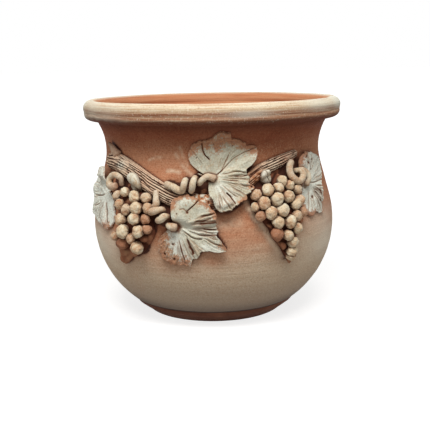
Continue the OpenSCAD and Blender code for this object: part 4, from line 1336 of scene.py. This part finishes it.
def make_berries(name, pad, berries, bare, material, seed):
    marks = np.array(berries, float)
    centres = on_wall(pad["at"][0] + marks[:, 0], pad["at"][1] + marks[:, 1], marks[:, 2])
    cloud = bpy.data.meshes.new(name + "_marks")
    cloud.from_pydata((centres * MM).tolist(), [], [])
    set_values(cloud, ball_size=marks[:, 3])
    bunch = berry_tree().grow(name, in_scene(name + "_marks", cloud), material, Seed=seed)
    p = points_of(bunch.data)
    gaps = np.linalg.norm(p[:, None, :] - centres[None, :, :], axis=-1) - marks[None, :, 3]
    own = np.argmin(gaps, axis=1)
    gaps.sort(axis=1)
    # Painted shade where the balls touch
    set_values(bunch.data, crease=ease(2.2, 0.0, gaps[:, 1]), tone=marks[own, 4],
               bare=sum(share * (own == k) for k, share in bare))
    return bunch


def make_strap(name, start, end, width, thick, folds, material, seed):
    """A flat pad of clay pressed over the vine

    Folds run along it, each with its place across, its depth and its width. The places and
    widths are shares of the strap's half width."""
    steps, rings = 96, 26
    start, end = np.array(start, float), np.array(end, float)
    middle = (start + end) / 2
    way = (end - start) / np.linalg.norm(end - start)
    square = np.array([-way[1], way[0]])
    length = np.linalg.norm(end - start) / 2
    F, T = rings_out(np.linspace(0, 2 * math.pi, steps, endpoint=False), rings)
    a, b = F * np.cos(T), F * np.sin(T)
    a, b = np.sign(a) * np.abs(a) ** 0.9, np.sign(b) * np.abs(b) ** 0.9
    place = middle + (a * length)[..., None] * way + (b * width / 2)[..., None] * square
    across, up = place[..., 0], place[..., 1]
    under = resting(across, up, 0.7) + 0.35
    dome = np.sqrt(np.clip(1 - F ** 2, 0, 1))
    height = thick * (0.15 + 0.85 * dome) + 0.5 * rough(flat(across, up), (6, 6, 1), seed)
    crease = np.zeros_like(F)
    for at, deep, wide in folds:
        dip = bell(b - at, wide)
        height = height - deep * dip * ease(1, 0.7, F)
        crease += dip
    over = under + np.maximum(height * (0.12 + 0.88 * ease(1.0, 0.9, F)), 0.3)
    mesh, below = slab(name, across, up, over, under, middle, 6, under[0].mean() + thick)
    # Painted shade in the folds and round the strap's edge
    crease = np.maximum(np.clip(crease, 0, 1) * 0.7, ease(0.85, 1.0, F) * 0.6)
    set_values(mesh, crease=face_values(crease, below))
    return add_piece(name, mesh, material)


# ---- putting it together ----

def build():
    bark, leaf_skin, pad_skin = vine_finish(), leaf_finish(), pad_finish()
    rolled = rolled_finish("rolled_clay", "b98f6e", "d3c2a4", "e5dfcb", "5f3520")
    berry = rolled_finish("berry_clay", "b57f5c", "d5bb97", "e5e0c8", "5a2c1a")
    pale = rolled_finish("strap_clay", "c0a888", "dbd3bd", "e9e4d3", "6a4a34")
    pieces = []

    def lay(obj, node, slot, stain_and_shade=1.0):
        pieces.append((obj, node, slot, stain_and_shade))

    lay(make_vine(bark), "vine", "vine_bark", 0.55)
    lay(make_rope("front_snag", SNAG, bark, 0.8, 9.0, 0.4), "vine", "vine_bark")
    for name, node, leaf, seed, stain_and_shade in LEAVES:
        lay(make_leaf("front_" + name, leaf, leaf_skin, seed), node, "leaf_slip", stain_and_shade)
    for name, node, taper, seed, marks in ROPES:
        lay(make_rope("front_" + name, marks, rolled, taper, seed), node, "rolled_clay")
    lay(make_strap("front_left_strap", (-128, 30), (-112, 6), 24, 7, [], pale, 211),
        "left_stalk", "rolled_clay")
    lay(make_strap("front_right_strap", (74, 35), (84, 17), 18, 7, [(0.1, 1.6, 0.10)], pale, 221),
        "right_stalk", "rolled_clay")
    lay(make_pad("front_left_bed", LEFT_PAD, pad_skin, 231), "left_pad", "pad_clay")
    lay(make_pad("front_right_bed", RIGHT_PAD, pad_skin, 241), "right_pad", "pad_clay")
    lay(make_berries("front_left_grapes", LEFT_PAD, LEFT_BERRIES, LEFT_BARE, berry, 7),
        "left_berries", "berry_clay")
    lay(make_berries("front_right_grapes", RIGHT_PAD, RIGHT_BERRIES, RIGHT_BARE, berry, 9),
        "right_berries", "berry_clay")

    cover = Cover([points_of(obj.data) for obj, _, _, _ in pieces])
    for obj, _, _, stain_and_shade in pieces:
        stain_and_shade_hollows(obj, cover, stain_and_shade)
    pot = make_pot(pot_finish(), cover)
    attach(pot, "root")
    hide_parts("pot")
    for obj, node, slot, _ in pieces:
        twin = turned_copy(obj, obj.name.replace("front_", "rear_"))
        for piece, side in ((obj, "front_"), (twin, "back_")):
            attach(piece, "root")
            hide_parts(side + node)


# ---- camera, light and floor ----

# Light from all sides that falls on the pot, where the camera sees a white of 1
FILL_LIGHT = 0.36

# The floor's half size in metres, its own colour, and how it glows for the camera: the distances
# from the middle between which the glow rises, and the glow at each
FLOOR_HALF = 30
FLOOR_COLOUR = (0.40, 0.39, 0.38, 1)
GLOW_FROM, GLOW_TO = (0.35, 0.78), (1.4, 1.0)


def set_camera():
    """The camera, fitted to the photograph's rim, belly and foot"""
    data = bpy.data.cameras.new("photo_view")
    data.sensor_width = 36.0
    data.lens = 65.0
    data.shift_x = 0.0033
    camera = in_scene("photo_view", data)
    camera.matrix_world = (Matrix.Translation((0, -1.232, 0.387))
                           @ Matrix.Rotation(math.radians(78.81), 4, "X")
                           @ Matrix.Rotation(math.radians(-1.04), 4, "Z"))
    bpy.context.scene.camera = camera


def area_light(name, at, aim, wide, high, watts):
    data = bpy.data.lights.new(name, "AREA")
    data.shape = "RECTANGLE"
    data.size = wide
    data.size_y = high
    data.energy = watts
    lamp = in_scene(name, data)
    way = Vector(aim) - Vector(at)
    lamp.matrix_world = (Matrix.Translation(at)
                         @ way.to_track_quat("-Z", "Y").to_matrix().to_4x4())


def seen_share(maker):
    """1 for what the camera sees itself or in a reflection, and 0 for light on other things"""
    ray = maker.add("ShaderNodeLightPath").outputs
    return maker.math("MAXIMUM", ray["Is Camera Ray"], ray["Is Glossy Ray"])


def set_light():
    area_light("overhead", (-0.11, -1.2, 2.02), (0, 0, 0.2), 1.5, 0.6, 46.0)
    world = bpy.data.worlds.new("studio")
    world.use_nodes = True
    maker = NodeMaker(world.node_tree)
    level = maker.add("ShaderNodeMapRange", {
        "Value": seen_share(maker), "To Min": FILL_LIGHT, "To Max": 1.0})
    back = world.node_tree.nodes["Background"].inputs
    back["Color"].default_value = (1, 1, 1, 1)
    maker.tree.links.new(level.outputs[0], back["Strength"])
    bpy.context.scene.world = world


def set_floor():
    mesh = bpy.data.meshes.new("floor")
    corners = [(x * FLOOR_HALF, y * FLOOR_HALF, 0) for x, y in ((-1, -1), (1, -1), (1, 1), (-1, 1))]
    mesh.from_pydata(corners, [], [(0, 1, 2, 3)])
    floor = in_scene("floor", mesh)
    material = bpy.data.materials.new("studio_floor")
    material.use_nodes = True
    maker = NodeMaker(material.node_tree)
    maker.tree.nodes.clear()
    place = maker.add("ShaderNodeTexCoord").outputs["Object"]
    far = maker.add("ShaderNodeVectorMath", {0: place}, operation="LENGTH").outputs["Value"]
    level = maker.add("ShaderNodeMapRange", {
        "Value": far, "From Min": GLOW_FROM[0], "From Max": GLOW_TO[0],
        "To Min": GLOW_FROM[1], "To Max": GLOW_TO[1]}).outputs[0]
    level = maker.math("MULTIPLY", seen_share(maker), level)
    glow = maker.add("ShaderNodeEmission", {"Color": (1, 1, 1, 1), "Strength": level}).outputs[0]
    matt = maker.add("ShaderNodeBsdfDiffuse", {"Color": FLOOR_COLOUR}).outputs[0]
    both = maker.add("ShaderNodeAddShader", {0: matt, 1: glow}).outputs[0]
    maker.add("ShaderNodeOutputMaterial", {"Surface": both})
    mesh.materials.append(material)


bpy.context.scene.view_settings.view_transform = "Standard"
set_camera()
set_light()
set_floor()
build()
